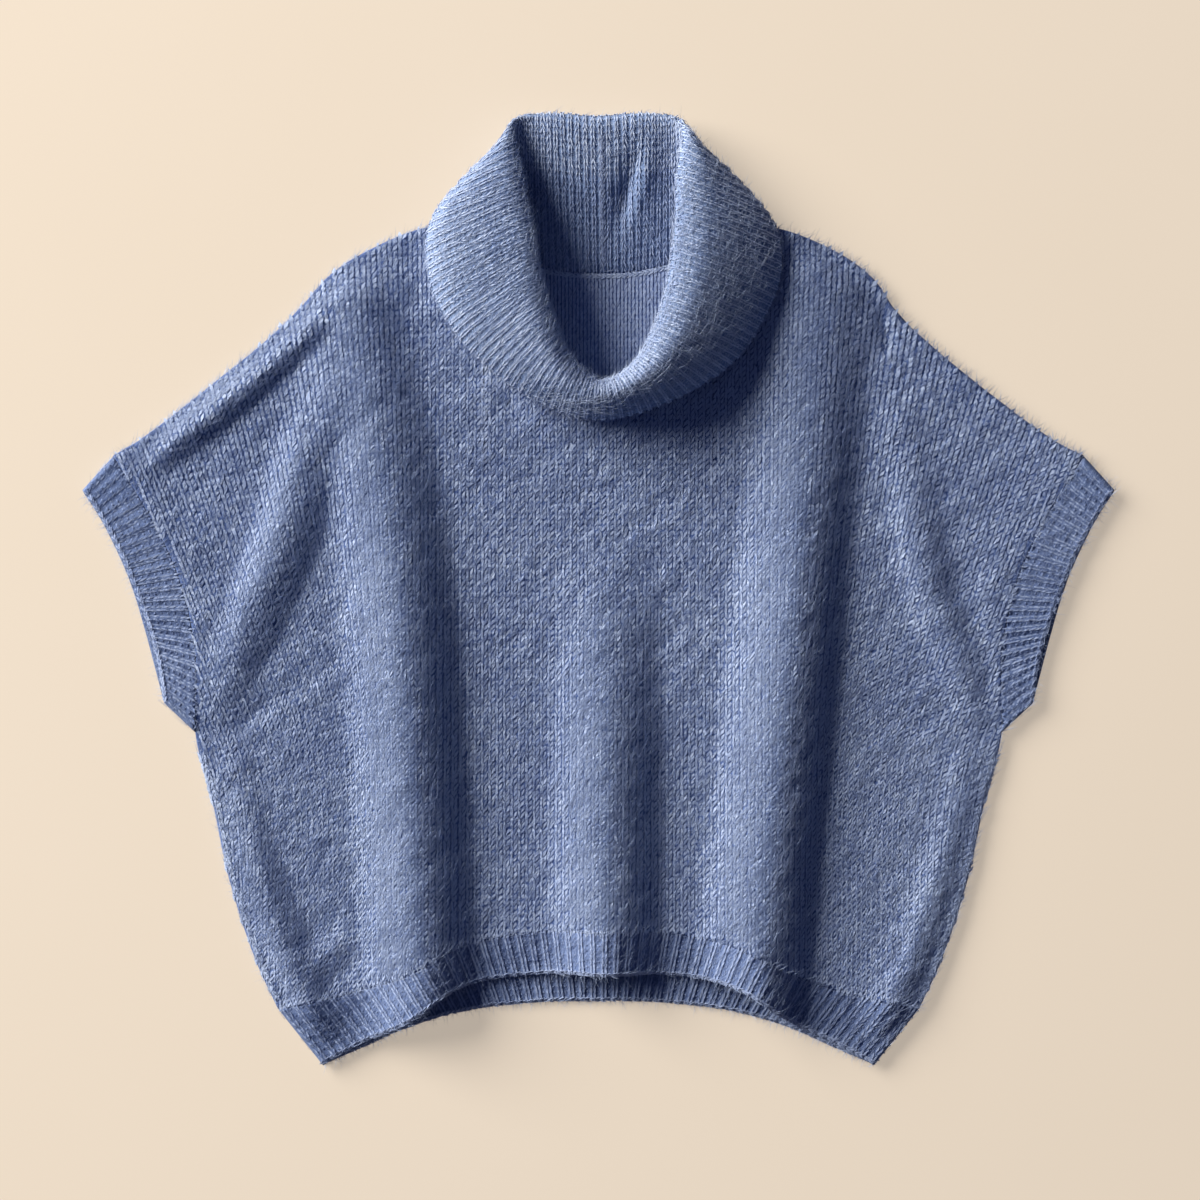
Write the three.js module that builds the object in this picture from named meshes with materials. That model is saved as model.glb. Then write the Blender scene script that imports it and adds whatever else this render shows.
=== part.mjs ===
// A knitted poncho sweater with a deep fold-over collar, laid flat on its back.
// Millimetres. +X is to the right of the laid garment, +Y runs up to the collar, +Z is off the surface.
// The two panels lie on each other, the ribbed bands finish the hem and the sleeve openings,
// and the collar stands up from the neck seam as a soft roll.

import * as THREE from 'three';

// Cloth and joins.
const CLOTH = 3.0;
const SEAM_GAP = 0.3;
const RIB_RISE = 1.2;
const PANEL_LIFT = CLOTH + SEAM_GAP;
const HEM_LIFT = PANEL_LIFT + RIB_RISE;

// Ribs: one raised column of the single rib, counted across each band.
const HEM_RIBS = 54;
const CUFF_RIBS = 25;
const COLLAR_RIBS = 108;

// Half of the outline, read from the shoulder to the hem. The other half mirrors it.
const LEFT_SHOULDER = [
  { at: 'cuff seam', x: -387.5, y: 107 },
  { at: 'end of the sleeve', x: -368, y: 118.5 },
  { at: 'middle of the sleeve', x: -300, y: 171 },
  { at: 'upper sleeve', x: -267.5, y: 197.5 },
  { at: 'top of the sleeve', x: -239, y: 224.5 },
  { at: 'drop of the shoulder', x: -214, y: 252 },
  { at: 'shoulder', x: -186, y: 270 },
  { at: 'under the collar', x: -134, y: 290 },
];
const RIGHT_SHOULDER = [
  { at: 'cuff seam', x: 387.5, y: 107 },
  { at: 'end of the sleeve', x: 368, y: 116.5 },
  { at: 'middle of the sleeve', x: 304, y: 163.5 },
  { at: 'upper sleeve', x: 262, y: 198.5 },
  { at: 'top of the sleeve', x: 238, y: 221.5 },
  { at: 'drop of the shoulder', x: 221, y: 247 },
  { at: 'shoulder', x: 190, y: 270 },
  { at: 'under the collar', x: 136, y: 290 },
];
const CUFF_SEAM = [
  { x: 387.5, y: 107 },
  { x: 356, y: 55 },
  { x: 335, y: 10 },
  { x: 322, y: -48 },
  { x: 322, y: -114.5 },
];
const CUFF_EDGE = [
  { x: 412.4, y: 79.5 },
  { x: 397, y: 55.5 },
  { x: 380.5, y: 23.5 },
  { x: 366, y: -13 },
  { x: 356, y: -42 },
  { x: 350, y: -70 },
  { x: 347, y: -91 },
];
const SIDE_SEAM = [
  { x: 322, y: -114.5 },
  { x: 318, y: -137 },
  { x: 309, y: -168 },
  { x: 295, y: -232 },
  { x: 274, y: -296 },
  { x: 256, y: -335 },
];

// Hem lines from the side to the middle: the seam above each band, and each band's cast-off edge.
const FRONT_HEM_SEAM = [
  { x: 256, y: -335 },
  { x: 200, y: -323 },
  { x: 155, y: -308 },
  { x: 110, y: -285 },
  { x: 50, y: -274 },
  { x: 0, y: -272.5 },
];
const FRONT_HEM_EDGE = [
  { x: 220, y: -380 },
  { x: 188, y: -362 },
  { x: 155, y: -346 },
  { x: 110, y: -317 },
  { x: 50, y: -307 },
  { x: 0, y: -306 },
];
const BACK_HEM_SEAM = [
  { x: 256, y: -335 },
  { x: 200, y: -332 },
  { x: 155, y: -318 },
  { x: 110, y: -304 },
  { x: 50, y: -296 },
  { x: 0, y: -295 },
];
const BACK_HEM_EDGE = [
  { x: 220, y: -380 },
  { x: 188, y: -366 },
  { x: 155, y: -351 },
  { x: 110, y: -337.5 },
  { x: 50, y: -330 },
  { x: 0, y: -329 },
];

// The collar, a row for each section round the neck, from the middle of the back over the left side,
// the front and the right side. Seam is where it joins the body, rim is the innermost line of the roll,
// belly is where the folded layer stands out most, and edge is its cast-off edge.
// Rise is the height of the crest, crest is how far the crest lies from rim to belly, level is the
// height of the rim as a part of the rise, and pressed is 1 where the fold lies flat on the surface.
const COLLAR_SECTIONS = [
  { seam: [0, 254], rim: [-2, 376.5], belly: [0, 363], edge: [0, 325], crest: 0.3, rise: 7, level: 0.7, pressed: 1 },
  { seam: [-38, 257], rim: [-41, 379], belly: [-45, 365], edge: [-47, 322], crest: 0.3, rise: 10, level: 0.7, pressed: 0.9 },
  { seam: [-73, 268], rim: [-67, 372], belly: [-78, 353], edge: [-86, 313], crest: 0.3, rise: 29, level: 0.72, pressed: 0.2 },
  { seam: [-98, 286], rim: [-61, 328], belly: [-129, 300], edge: [-127, 296], crest: 0.2, rise: 42, level: 0.75, pressed: 0 },
  { seam: [-95, 249], rim: [-54, 290], belly: [-134, 252], edge: [-132, 252], crest: 0.15, rise: 50, level: 0.75, pressed: 0 },
  { seam: [-85, 212], rim: [-48, 254], belly: [-116, 210], edge: [-114, 211], crest: 0.15, rise: 54, level: 0.75, pressed: 0 },
  { seam: [-66, 181], rim: [-38, 219], belly: [-85, 177], edge: [-82, 179], crest: 0.22, rise: 57, level: 0.74, pressed: 0 },
  { seam: [-37, 159], rim: [-23, 183], belly: [-45, 149], edge: [-43, 153], crest: 0.32, rise: 59, level: 0.72, pressed: 0 },
  { seam: [0, 150], rim: [1, 163], belly: [0, 136], edge: [0, 142], crest: 0.4, rise: 60, level: 0.7, pressed: 0 },
  { seam: [38, 159], rim: [26, 175], belly: [50, 148], edge: [48, 152], crest: 0.36, rise: 59, level: 0.62, pressed: 0 },
  { seam: [68, 182], rim: [43, 202], belly: [100, 176], edge: [97, 178], crest: 0.33, rise: 56, level: 0.5, pressed: 0 },
  { seam: [87, 212], rim: [55, 240], belly: [129, 213], edge: [127, 214], crest: 0.3, rise: 52, level: 0.42, pressed: 0 },
  { seam: [97, 249], rim: [61, 284], belly: [145, 256], edge: [143, 257], crest: 0.3, rise: 48, level: 0.4, pressed: 0 },
  { seam: [99, 286], rim: [63, 328], belly: [134, 300], edge: [132, 296], crest: 0.28, rise: 41, level: 0.45, pressed: 0 },
  { seam: [73, 268], rim: [66, 371], belly: [80, 353], edge: [87, 313], crest: 0.3, rise: 29, level: 0.6, pressed: 0.2 },
  { seam: [38, 257], rim: [40, 379], belly: [46, 365], edge: [48, 322], crest: 0.3, rise: 10, level: 0.7, pressed: 0.9 },
];
const NECK_LEFT = 3;
const NECK_RIGHT = 13;
const PRESSED_UPPER = 5.8;
const PRESSED_LOWER = 1.5;
const COLLAR_ROWS = [0, 0.6, 1.2, 1.8, 2.3, 2.7, 3, 3.35, 3.8, 4.4, 5.1, 6];

// The front's folds, a row each: where the crest starts, bends and ends, how wide its left and right
// flanks are, and how high it stands at those three places.
const FRONT_FOLDS = [
  { name: 'left body fold', path: [[-190, 226], [-157, 10], [-132, -400]], left: 62, right: 52, rise: [7, 17, 18] },
  { name: 'middle body fold', path: [[4, 80], [3, -100], [0, -400]], left: 50, right: 56, rise: [0, 9, 15] },
  { name: 'right body fold', path: [[182, 240], [158, -10], [119, -400]], left: 60, right: 52, rise: [7, 17, 18] },
  { name: 'left sleeve fold', path: [[-218, 160], [-258, 22], [-312, -92]], left: 34, right: 30, rise: [4, 10, 5] },
  { name: 'right sleeve fold', path: [[243, 135], [262, 10], [300, -85]], left: 30, right: 26, rise: [2, 6, 4] },
  { name: 'left shoulder roll', path: [[-232, 210], [-300, 152], [-372, 96]], left: 30, right: 22, rise: [5, 8, 6] },
  { name: 'left side roll', path: [[-300, -140], [-278, -230], [-232, -340]], left: 22, right: 30, rise: [3, 8, 7] },
  { name: 'right side roll', path: [[300, -140], [278, -230], [232, -340]], left: 30, right: 22, rise: [3, 6, 6] },
];
const EDGE_EASE = 0.05;
const NECK_LIFT = 2.5;

// Cuffs: a flattened tube, with the lower wall on the surface.
const CUFF_WALL = 2.6;
const CUFF_HEIGHT = 7.2;
const CUFF_END_ROUND = 5;
const CUFF_WIDTH = 224;
const CUFF_DEPTH = 32;
const CUFF_CHORDS = 9;

// Colours.
const BODY_YARN = 0x6474a0;
const RIB_YARN = 0x6c7ca8;

const lerp = THREE.MathUtils.lerp;
const clamp = THREE.MathUtils.clamp;
const ease = (t) => THREE.MathUtils.smoothstep(t, 0, 1);

// A smooth plan curve through a table of places, read by its fraction of length.
function planCurve(places) {
  const points = places.map(({ x, y }) => new THREE.Vector3(x, y, 0));
  const curve = new THREE.CatmullRomCurve3(points, false, 'centripetal');
  curve.arcLengthDivisions = 400;
  return (fraction) => curve.getPointAt(clamp(fraction, 0, 1));
}

const mirrored = (places) => places.map(({ x, y }) => ({ x: -x, y }));

// One band or edge line all the way across, from the left side to the right side.
function acrossCurve(halfPlaces) {
  const rightHalf = [...halfPlaces].reverse().slice(1);
  return planCurve([...mirrored(halfPlaces), ...rightHalf]);
}

// The same line as straight chords between the given fractions, so that two pieces cut along it agree.
function chorded(curve, fractions) {
  const places = fractions.map((fraction) => curve(fraction));
  return (fraction) => {
    let k = 0;
    while (k < fractions.length - 2 && fractions[k + 1] < fraction) k += 1;
    const t = (fraction - fractions[k]) / (fractions[k + 1] - fractions[k]);
    return new THREE.Vector3().lerpVectors(places[k], places[k + 1], t);
  };
}

const steps = (from, to, count) => Array.from({ length: count + 1 }, (_, k) => lerp(from, to, k / count));

// Values and places between the collar's sections, going round.
function roundSections(read, station) {
  const count = COLLAR_SECTIONS.length;
  const whole = Math.floor(station);
  const t = station - whole;
  const value = (k) => read(COLLAR_SECTIONS[(whole + k + 2 * count) % count]);
  const [a, b, c, d] = [value(-1), value(0), value(1), value(2)];
  const spline = 2 * b + (c - a) * t + (2 * a - 5 * b + 4 * c - d) * t * t + (3 * b - a - 3 * c + d) * t * t * t;
  return spline / 2;
}

function collarPlace(name, station) {
  const x = roundSections((section) => section[name][0], station);
  const y = roundSections((section) => section[name][1], station);
  return new THREE.Vector3(x, y, 0);
}

// The neck seam in chords of half a section, shared by the panels and the collar.
function neckSeam(station) {
  const from = Math.floor(station * 2) / 2;
  const start = collarPlace('seam', from);
  const end = collarPlace('seam', from + 0.5);
  return start.lerp(end, (station - from) * 2);
}

// The front's height: folds added up over the lift of the lower panel.
const foldLines = FRONT_FOLDS.map((fold) => {
  const points = fold.path.map(([x, y]) => new THREE.Vector3(x, y, 0));
  const samples = new THREE.CatmullRomCurve3(points, false, 'centripetal').getSpacedPoints(40);
  return { ...fold, samples };
});

function foldHeight(fold, x, y) {
  let nearest = 0;
  let best = Infinity;
  fold.samples.forEach((point, index) => {
    const distance = (point.x - x) ** 2 + (point.y - y) ** 2;
    if (distance < best) {
      best = distance;
      nearest = index;
    }
  });
  const last = fold.samples.length - 1;
  const before = fold.samples[Math.max(nearest - 1, 0)];
  const after = fold.samples[Math.min(nearest + 1, last)];
  const along = new THREE.Vector3().subVectors(after, before).normalize();
  const offset = new THREE.Vector3(x - fold.samples[nearest].x, y - fold.samples[nearest].y, 0);
  const side = along.x * offset.y - along.y * offset.x;
  const past = Math.abs(offset.dot(along));
  const width = side > 0 ? fold.right : fold.left;
  const reach = Math.hypot(side, past) / width;
  if (reach >= 1) return 0;
  const t = (nearest / last) * 2;
  const rise = t < 1 ? lerp(fold.rise[0], fold.rise[1], ease(t)) : lerp(fold.rise[1], fold.rise[2], ease(t - 1));
  return rise * 0.5 * (1 + Math.cos(Math.PI * reach));
}

function frontFolds(x, y) {
  return foldLines.reduce((sum, fold) => sum + foldHeight(fold, x, y), 0);
}

// Closed walls from two grids of points, an outer face and an inner face, row by row.
// A ring's rows run round and close on themselves. A sheet's rows have two ends.
function closedWall(outer, inner, ring) {
  const positions = [];
  const triangles = [];
  const addGrid = (grid) => grid.map((row) => row.map((point) => {
    positions.push(point.x, point.y, point.z);
    return positions.length / 3 - 1;
  }));
  const outerIds = addGrid(outer);
  const innerIds = addGrid(inner);

  const fillFace = (grid, turned) => {
    for (let i = 0; i + 1 < grid.length; i += 1) {
      const count = grid[i].length;
      const spans = ring ? count : count - 1;
      for (let j = 0; j < spans; j += 1) {
        const next = (j + 1) % count;
        const [a, b, c, d] = [grid[i][j], grid[i][next], grid[i + 1][next], grid[i + 1][j]];
        if (turned) triangles.push(a, c, b, a, d, c);
        else triangles.push(a, b, c, a, c, d);
      }
    }
  };
  fillFace(outerIds, false);
  fillFace(innerIds, true);

  // Joins two rows of points that run the same way, whatever their counts.
  const joinRows = (outerRow, innerRow) => {
    let a = 0;
    let b = 0;
    while (a + 1 < outerRow.length || b + 1 < innerRow.length) {
      const outerNext = (a + 1) / (outerRow.length - 1);
      const innerNext = (b + 1) / (innerRow.length - 1);
      if (outerNext <= innerNext) {
        triangles.push(outerRow[a + 1], outerRow[a], innerRow[b]);
        a += 1;
      } else {
        triangles.push(innerRow[b], innerRow[b + 1], outerRow[a]);
        b += 1;
      }
    }
  };
  const first = (grid) => grid[0];
  const last = (grid) => [...grid[grid.length - 1]].reverse();
  if (ring) {
    const closed = (row) => [...row, row[0]];
    const lastClosed = (grid) => [grid[grid.length - 1][0], ...last(grid)];
    joinRows(closed(first(outerIds)), closed(first(innerIds)));
    joinRows(lastClosed(outerIds), lastClosed(innerIds));
  } else {
    const rightSide = (grid) => grid.map((row) => row[row.length - 1]);
    const leftSide = (grid) => grid.map((row) => row[0]).reverse();
    joinRows(first(outerIds), first(innerIds));
    joinRows(rightSide(outerIds), rightSide(innerIds));
    joinRows(last(outerIds), last(innerIds));
    joinRows(leftSide(outerIds), leftSide(innerIds));
  }
  return solidFrom(positions, triangles);
}

// A geometry whose faces point out, whichever way its rows were given.
function solidFrom(positions, triangles) {
  const corner = (id) => new THREE.Vector3().fromArray(positions, id * 3);
  let volume = 0;
  for (let k = 0; k < triangles.length; k += 3) {
    const [a, b, c] = [corner(triangles[k]), corner(triangles[k + 1]), corner(triangles[k + 2])];
    volume += a.dot(b.cross(c));
  }
  const outward = [...triangles];
  if (volume < 0) {
    for (let k = 0; k < outward.length; k += 3) {
      [outward[k + 1], outward[k + 2]] = [outward[k + 2], outward[k + 1]];
    }
  }
  const geometry = new THREE.BufferGeometry();
  geometry.setAttribute('position', new THREE.Float32BufferAttribute(positions, 3));
  geometry.setIndex(outward);
  geometry.computeVertexNormals();
  return geometry;
}

const turned = (list, turn) => list.map(({ x, y }) => ({ x: x * turn, y }));

// The seam between a cuff and the body, in chords.
const cuffSeam = (turn) => chorded(planCurve(turned(CUFF_SEAM, turn)), steps(0, 1, CUFF_CHORDS));

// The body's side lines: the cuff seam takes the upper half, the side seam the lower half.
function bodySide(turn) {
  const cuff = cuffSeam(turn);
  const side = planCurve(turned(SIDE_SEAM, turn));
  return (v) => (v < 0.5 ? cuff(v * 2) : side(v * 2 - 1));
}
const leftSide = bodySide(-1);
const rightSide = bodySide(1);

// The top line of a panel: left shoulder, neck seam and right shoulder. The neck takes the middle part.
const NECK_FROM = 0.32;
const NECK_TO = 0.68;
function topLine(neckStart, neckEnd) {
  const neckPoint = (station) => {
    const { x, y } = neckSeam(station);
    return { x, y };
  };
  const left = planCurve([...LEFT_SHOULDER, neckPoint(NECK_LEFT)]);
  const right = planCurve([...RIGHT_SHOULDER, neckPoint(NECK_RIGHT)]);
  return (s) => {
    if (s <= NECK_FROM) return left(s / NECK_FROM);
    if (s >= NECK_TO) return right((1 - s) / (1 - NECK_TO));
    return neckSeam(lerp(neckStart, neckEnd, (s - NECK_FROM) / (NECK_TO - NECK_FROM)));
  };
}

// A panel's plan, spanned between its four lines: s runs from left to right, v from top to hem.
function panelPlan(top, hem) {
  const corners = [leftSide(0), rightSide(0), leftSide(1), rightSide(1)];
  return (s, v) => {
    const mix = (pick) => {
      const between = lerp(pick(top(s)), pick(hem(s)), v) + lerp(pick(leftSide(v)), pick(rightSide(v)), s);
      const upper = lerp(pick(corners[0]), pick(corners[1]), s);
      const lower = lerp(pick(corners[2]), pick(corners[3]), s);
      return between - lerp(upper, lower, v);
    };
    return new THREE.Vector3(mix((p) => p.x), mix((p) => p.y), 0);
  };
}

function sheetRows(columns, rows, pointAt) {
  return rows.map((v) => columns.map((s) => pointAt(s, v)));
}

// Columns of a panel: so many over each shoulder, and a column at each chord of the neck seam.
function panelColumns(shoulderColumns, neckColumns) {
  return [
    ...steps(0, NECK_FROM, shoulderColumns).slice(0, -1),
    ...steps(NECK_FROM, NECK_TO, neckColumns),
    ...steps(NECK_TO, 1, shoulderColumns).slice(1),
  ];
}

const NECK_BACK = NECK_RIGHT - COLLAR_SECTIONS.length;
const frontColumns = panelColumns(17, (NECK_RIGHT - NECK_LEFT) * 2);
const backColumns = panelColumns(9, (NECK_LEFT - NECK_BACK) * 2);
const frontHemSeam = chorded(acrossCurve(FRONT_HEM_SEAM), frontColumns);
const backHemSeam = chorded(acrossCurve(BACK_HEM_SEAM), backColumns);
const frontPlan = panelPlan(topLine(NECK_LEFT, NECK_RIGHT), frontHemSeam);
const backPlan = panelPlan(topLine(NECK_LEFT, NECK_BACK), backHemSeam);

// The front's underside: it lies on the back at its edges and rises to the neck seam and over the hem.
function frontLift(s, v) {
  const { x, y } = frontPlan(s, v);
  const sideEase = ease(Math.min(s, 1 - s) / EDGE_EASE) * ease(v / EDGE_EASE);
  const neckPart = ease((Math.min(s - NECK_FROM, NECK_TO - s) + 0.03) / 0.1);
  const neck = NECK_LIFT * neckPart * (1 - ease(v / 0.12));
  const hem = (HEM_LIFT - PANEL_LIFT) * ease((v - 0.8) / 0.2);
  return PANEL_LIFT + hem + neck + frontFolds(x, y) * sideEase;
}

function frontPanel() {
  const rows = steps(0, 1, CUFF_CHORDS * 2);
  const face = (raise) => sheetRows(frontColumns, rows, (s, v) => {
    const point = frontPlan(s, v);
    point.z = frontLift(s, v) + raise;
    return point;
  });
  return closedWall(face(CLOTH), face(0), false);
}

function backPanel() {
  const rows = [...steps(0, 0.5, CUFF_CHORDS), ...steps(0.5, 1, 4).slice(1)];
  const face = (height) => sheetRows(backColumns, rows, (s, v) => {
    const point = backPlan(s, v);
    point.z = height;
    return point;
  });
  return closedWall(face(CLOTH), face(0), false);
}

// A hem band hangs from its seam line. Its ribs run from the seam to the edge on the upper face.
function hemBand(seam, edgePlaces, liftAt) {
  const edge = acrossCurve(edgePlaces);
  const place = (s, w) => new THREE.Vector3().lerpVectors(seam(s), edge(s), w);
  const bandDepth = seam(0.5).distanceTo(edge(0.5));
  const rows = [SEAM_GAP / bandDepth, 0.33, 0.67, 1];
  const outer = rows.map((w) => steps(0, 1, HEM_RIBS * 2).map((s, column) => {
    const point = place(s, w);
    point.z = liftAt(s, w, point) + CLOTH + (column % 2 === 1 ? RIB_RISE : 0);
    return point;
  }));
  const inner = rows.map((w) => steps(0, 1, HEM_RIBS).map((s) => {
    const point = place(s, w);
    point.z = liftAt(s, w, point);
    return point;
  }));
  return closedWall(outer, inner, false);
}

function frontHemLift(s, w, point) {
  const sideEase = ease(Math.min(s, 1 - s) / EDGE_EASE);
  return HEM_LIFT + frontFolds(point.x, point.y) * sideEase;
}

// A cuff is a tube pressed flat: the upper wall is ribbed, the lower wall lies on the surface.
function cuff(turn) {
  const seam = cuffSeam(turn);
  const edge = planCurve(turned(CUFF_EDGE, turn));
  const width = CUFF_WIDTH;
  const endFraction = CUFF_END_ROUND / width;
  const halfHeight = CUFF_HEIGHT / 2;
  const spot = (a, w, z) => {
    const point = new THREE.Vector3().lerpVectors(seam(a), edge(a), w);
    point.z = z;
    return point;
  };
  const ringAt = (w, inset, columns, ribRise) => {
    const from = endFraction + inset / width;
    const upper = steps(from, 1 - from, columns).map((a, column) => (
      spot(a, w, CUFF_HEIGHT - inset + (column % 2 === 1 ? ribRise : 0))
    ));
    const lower = steps(1 - from, from, 10).map((a) => spot(a, w, inset));
    const farEnd = spot(1 - inset / width, w, halfHeight);
    const nearEnd = spot(inset / width, w, halfHeight);
    return [...upper, farEnd, ...lower, nearEnd];
  };
  const rows = [SEAM_GAP / CUFF_DEPTH, 0.5, 1];
  const outer = rows.map((w) => ringAt(w, 0, CUFF_RIBS * 2, RIB_RISE));
  const inner = rows.map((w) => ringAt(w, CUFF_WALL, CUFF_RIBS, 0));
  return closedWall(outer, inner, true);
}

// One section of the collar: six spans from the neck seam up, over the crest and down to its edge.
function collarSection(station) {
  const seam = neckSeam(station);
  const rim = collarPlace('rim', station);
  const belly = collarPlace('belly', station);
  const edge = collarPlace('edge', station);
  const rise = roundSections((section) => section.rise, station);
  const crest = roundSections((section) => section.crest, station);
  const level = roundSections((section) => section.level, station);
  const pressed = clamp(roundSections((section) => section.pressed, station), 0, 1);
  const between = (from, to, t, z) => {
    const point = new THREE.Vector3().lerpVectors(from, to, t);
    point.z = z;
    return point;
  };
  const frontward = ease(Math.min(station - 1.5, 14.5 - station) / 1.5);
  const seamHeight = lerp(CLOTH / 2, PANEL_LIFT + CLOTH / 2 + NECK_LIFT * 0.8, frontward);
  const edgeHeight = lerp(PRESSED_LOWER, PANEL_LIFT + CLOTH + 3, frontward);
  const along = neckSeam(station + 0.01).sub(neckSeam(station - 0.01));
  const away = new THREE.Vector3(along.y, -along.x, 0).normalize();
  if (away.dot(rim.clone().sub(seam)) < 0) away.negate();
  const start = seam.clone().addScaledVector(away, SEAM_GAP + frontward * CLOTH / 2).setZ(seamHeight);
  const standing = [
    start,
    between(seam, rim, 0.72, lerp(seamHeight, rise * level, 0.6)),
    between(seam, rim, 1, rise * level),
    between(rim, belly, crest, rise),
    between(rim, belly, 0.78, rise * 0.8),
    between(rim, belly, 1, rise * 0.42),
    between(edge, edge, 0, edgeHeight),
  ];
  const flat = [
    start,
    between(seam, rim, 0.45, PRESSED_UPPER),
    between(seam, rim, 0.9, PRESSED_UPPER),
    between(rim, rim, 0, (PRESSED_UPPER + PRESSED_LOWER) / 2),
    between(rim, edge, 0.25, PRESSED_LOWER),
    between(rim, edge, 0.65, PRESSED_LOWER),
    between(edge, edge, 0, PRESSED_LOWER),
  ];
  const points = standing.map((point, k) => point.clone().lerp(flat[k], pressed));
  return new THREE.CatmullRomCurve3(points, false, 'catmullrom', 0.5);
}

function collar() {
  const columns = COLLAR_RIBS * 2;
  const stationOf = (column) => (column / columns) * COLLAR_SECTIONS.length;
  const sections = Array.from({ length: columns }, (_, column) => collarSection(stationOf(column)));
  const lastRow = COLLAR_ROWS[COLLAR_ROWS.length - 1];
  const middle = COLLAR_ROWS.map((row) => sections.map((section) => section.getPoint(row / lastRow)));
  const normalAt = (row, column) => {
    const up = middle[Math.max(row - 1, 0)][column];
    const down = middle[Math.min(row + 1, middle.length - 1)][column];
    const before = middle[row][(column - 2 + columns) % columns];
    const after = middle[row][(column + 2) % columns];
    const along = new THREE.Vector3().subVectors(down, up);
    const around = new THREE.Vector3().subVectors(after, before);
    return along.cross(around).normalize();
  };
  const face = (every, reach) => middle.map((row, i) => row
    .filter((_, column) => column % every === 0)
    .map((point, k) => {
      const column = k * every;
      const normal = normalAt(i, column);
      const moved = point.clone().addScaledVector(normal, reach(column, normal));
      moved.z = Math.max(moved.z, 0);
      return moved;
    }));
  const ribbed = (column, normal) => {
    const shows = ease((normal.z + 0.9) / 0.5);
    return CLOTH / 2 + (column % 2 === 1 ? RIB_RISE * shows : 0);
  };
  const outer = face(1, ribbed);
  const inner = face(4, () => -CLOTH / 2);
  return closedWall(outer, inner, true);
}

const bodyKnit = () => new THREE.MeshStandardMaterial({ color: BODY_YARN, roughness: 0.95, metalness: 0 });
const ribKnit = () => new THREE.MeshStandardMaterial({ color: RIB_YARN, roughness: 0.95, metalness: 0 });

const PIECES = [
  { name: 'back_panel', geometry: backPanel(), material: bodyKnit() },
  { name: 'front_panel', geometry: frontPanel(), material: bodyKnit() },
  { name: 'hem_band_back', geometry: hemBand(backHemSeam, BACK_HEM_EDGE, () => 0), material: ribKnit() },
  { name: 'hem_band_front', geometry: hemBand(frontHemSeam, FRONT_HEM_EDGE, frontHemLift), material: ribKnit() },
  { name: 'cuff_left', geometry: cuff(-1), material: ribKnit() },
  { name: 'cuff_right', geometry: cuff(1), material: ribKnit() },
  { name: 'collar', geometry: collar(), material: ribKnit() },
];

const sweater = new THREE.Group();
for (const { name, geometry, material } of PIECES) {
  const mesh = new THREE.Mesh(geometry, material);
  mesh.name = name;
  sweater.add(mesh);
}

export default sweater;
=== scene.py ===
import math

import bpy
import numpy as np
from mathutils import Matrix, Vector
from mathutils.bvhtree import BVHTree


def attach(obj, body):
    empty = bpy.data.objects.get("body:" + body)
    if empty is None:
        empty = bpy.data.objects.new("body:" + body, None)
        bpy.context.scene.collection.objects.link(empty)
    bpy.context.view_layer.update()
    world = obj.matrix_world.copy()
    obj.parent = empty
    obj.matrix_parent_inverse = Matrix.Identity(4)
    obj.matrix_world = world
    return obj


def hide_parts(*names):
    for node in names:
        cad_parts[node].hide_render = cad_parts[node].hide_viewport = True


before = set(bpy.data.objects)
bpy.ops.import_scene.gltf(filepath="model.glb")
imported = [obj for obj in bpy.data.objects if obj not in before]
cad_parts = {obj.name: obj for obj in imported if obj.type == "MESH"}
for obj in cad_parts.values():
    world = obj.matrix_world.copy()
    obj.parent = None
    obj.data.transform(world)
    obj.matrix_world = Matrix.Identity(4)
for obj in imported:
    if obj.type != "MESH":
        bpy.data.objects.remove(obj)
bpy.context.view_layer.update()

# Camera, light and floor
# The sweater is photographed from straight above on a pale warm board. One broad lamp stands low on the
# upper left and a weak even fill comes from the room, so each fold has a bright and a dark flank.
SIGHT_CENTRE = (0.0012, -0.0084)
CAMERA_HEIGHT = 2.268
LENS_MM = 85.0
SENSOR_MM = 36.0
LAMP_FROM = (-0.86, 0.51, 0.42)
LAMP_AWAY = 7.5
LAMP_WIDTH = 6.6
LAMP_TALL = 3.7
LAMP_STRENGTH = 9.2
LAMP_COLOUR = "#FFFAF0"
FILL_COLOUR = "#A0B2F2"
FILL_STRENGTH = 0.102
FLOOR_SIZE = 4.0
FLOOR_DROP = 0.0002
FLOOR_COLOUR = "#A1978B"
FLOOR_SHADE = "#9D9284"
FLOOR_GLOW = 0.52
FLOOR_GLOW_COLOUR = "#F2E2CE"
FLOOR_CLOUD = 0.35


def linear_colour(hex_text):
    """An sRGB hex colour as linear red, green, blue and alpha."""
    parts = [int(hex_text[k:k + 2], 16) / 255 for k in (1, 3, 5)]
    linear = [p / 12.92 if p <= 0.04045 else ((p + 0.055) / 1.055) ** 2.4 for p in parts]
    return (*linear, 1.0)


def add_node(tree, kind, inputs=None, **settings):
    """Adds a node. An input is a value, or another node's output to link."""
    node = tree.nodes.new(kind)
    for name, value in settings.items():
        setattr(node, name, value)
    for key, value in (inputs or {}).items():
        if isinstance(value, bpy.types.NodeSocket):
            tree.links.new(value, node.inputs[key])
        else:
            node.inputs[key].default_value = value
    return node


def new_material(name):
    material = bpy.data.materials.new(name)
    material.use_nodes = True
    material.node_tree.nodes.clear()
    return material


def link_object(name, data):
    made = bpy.data.objects.new(name, data)
    bpy.context.scene.collection.objects.link(made)
    return made


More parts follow.
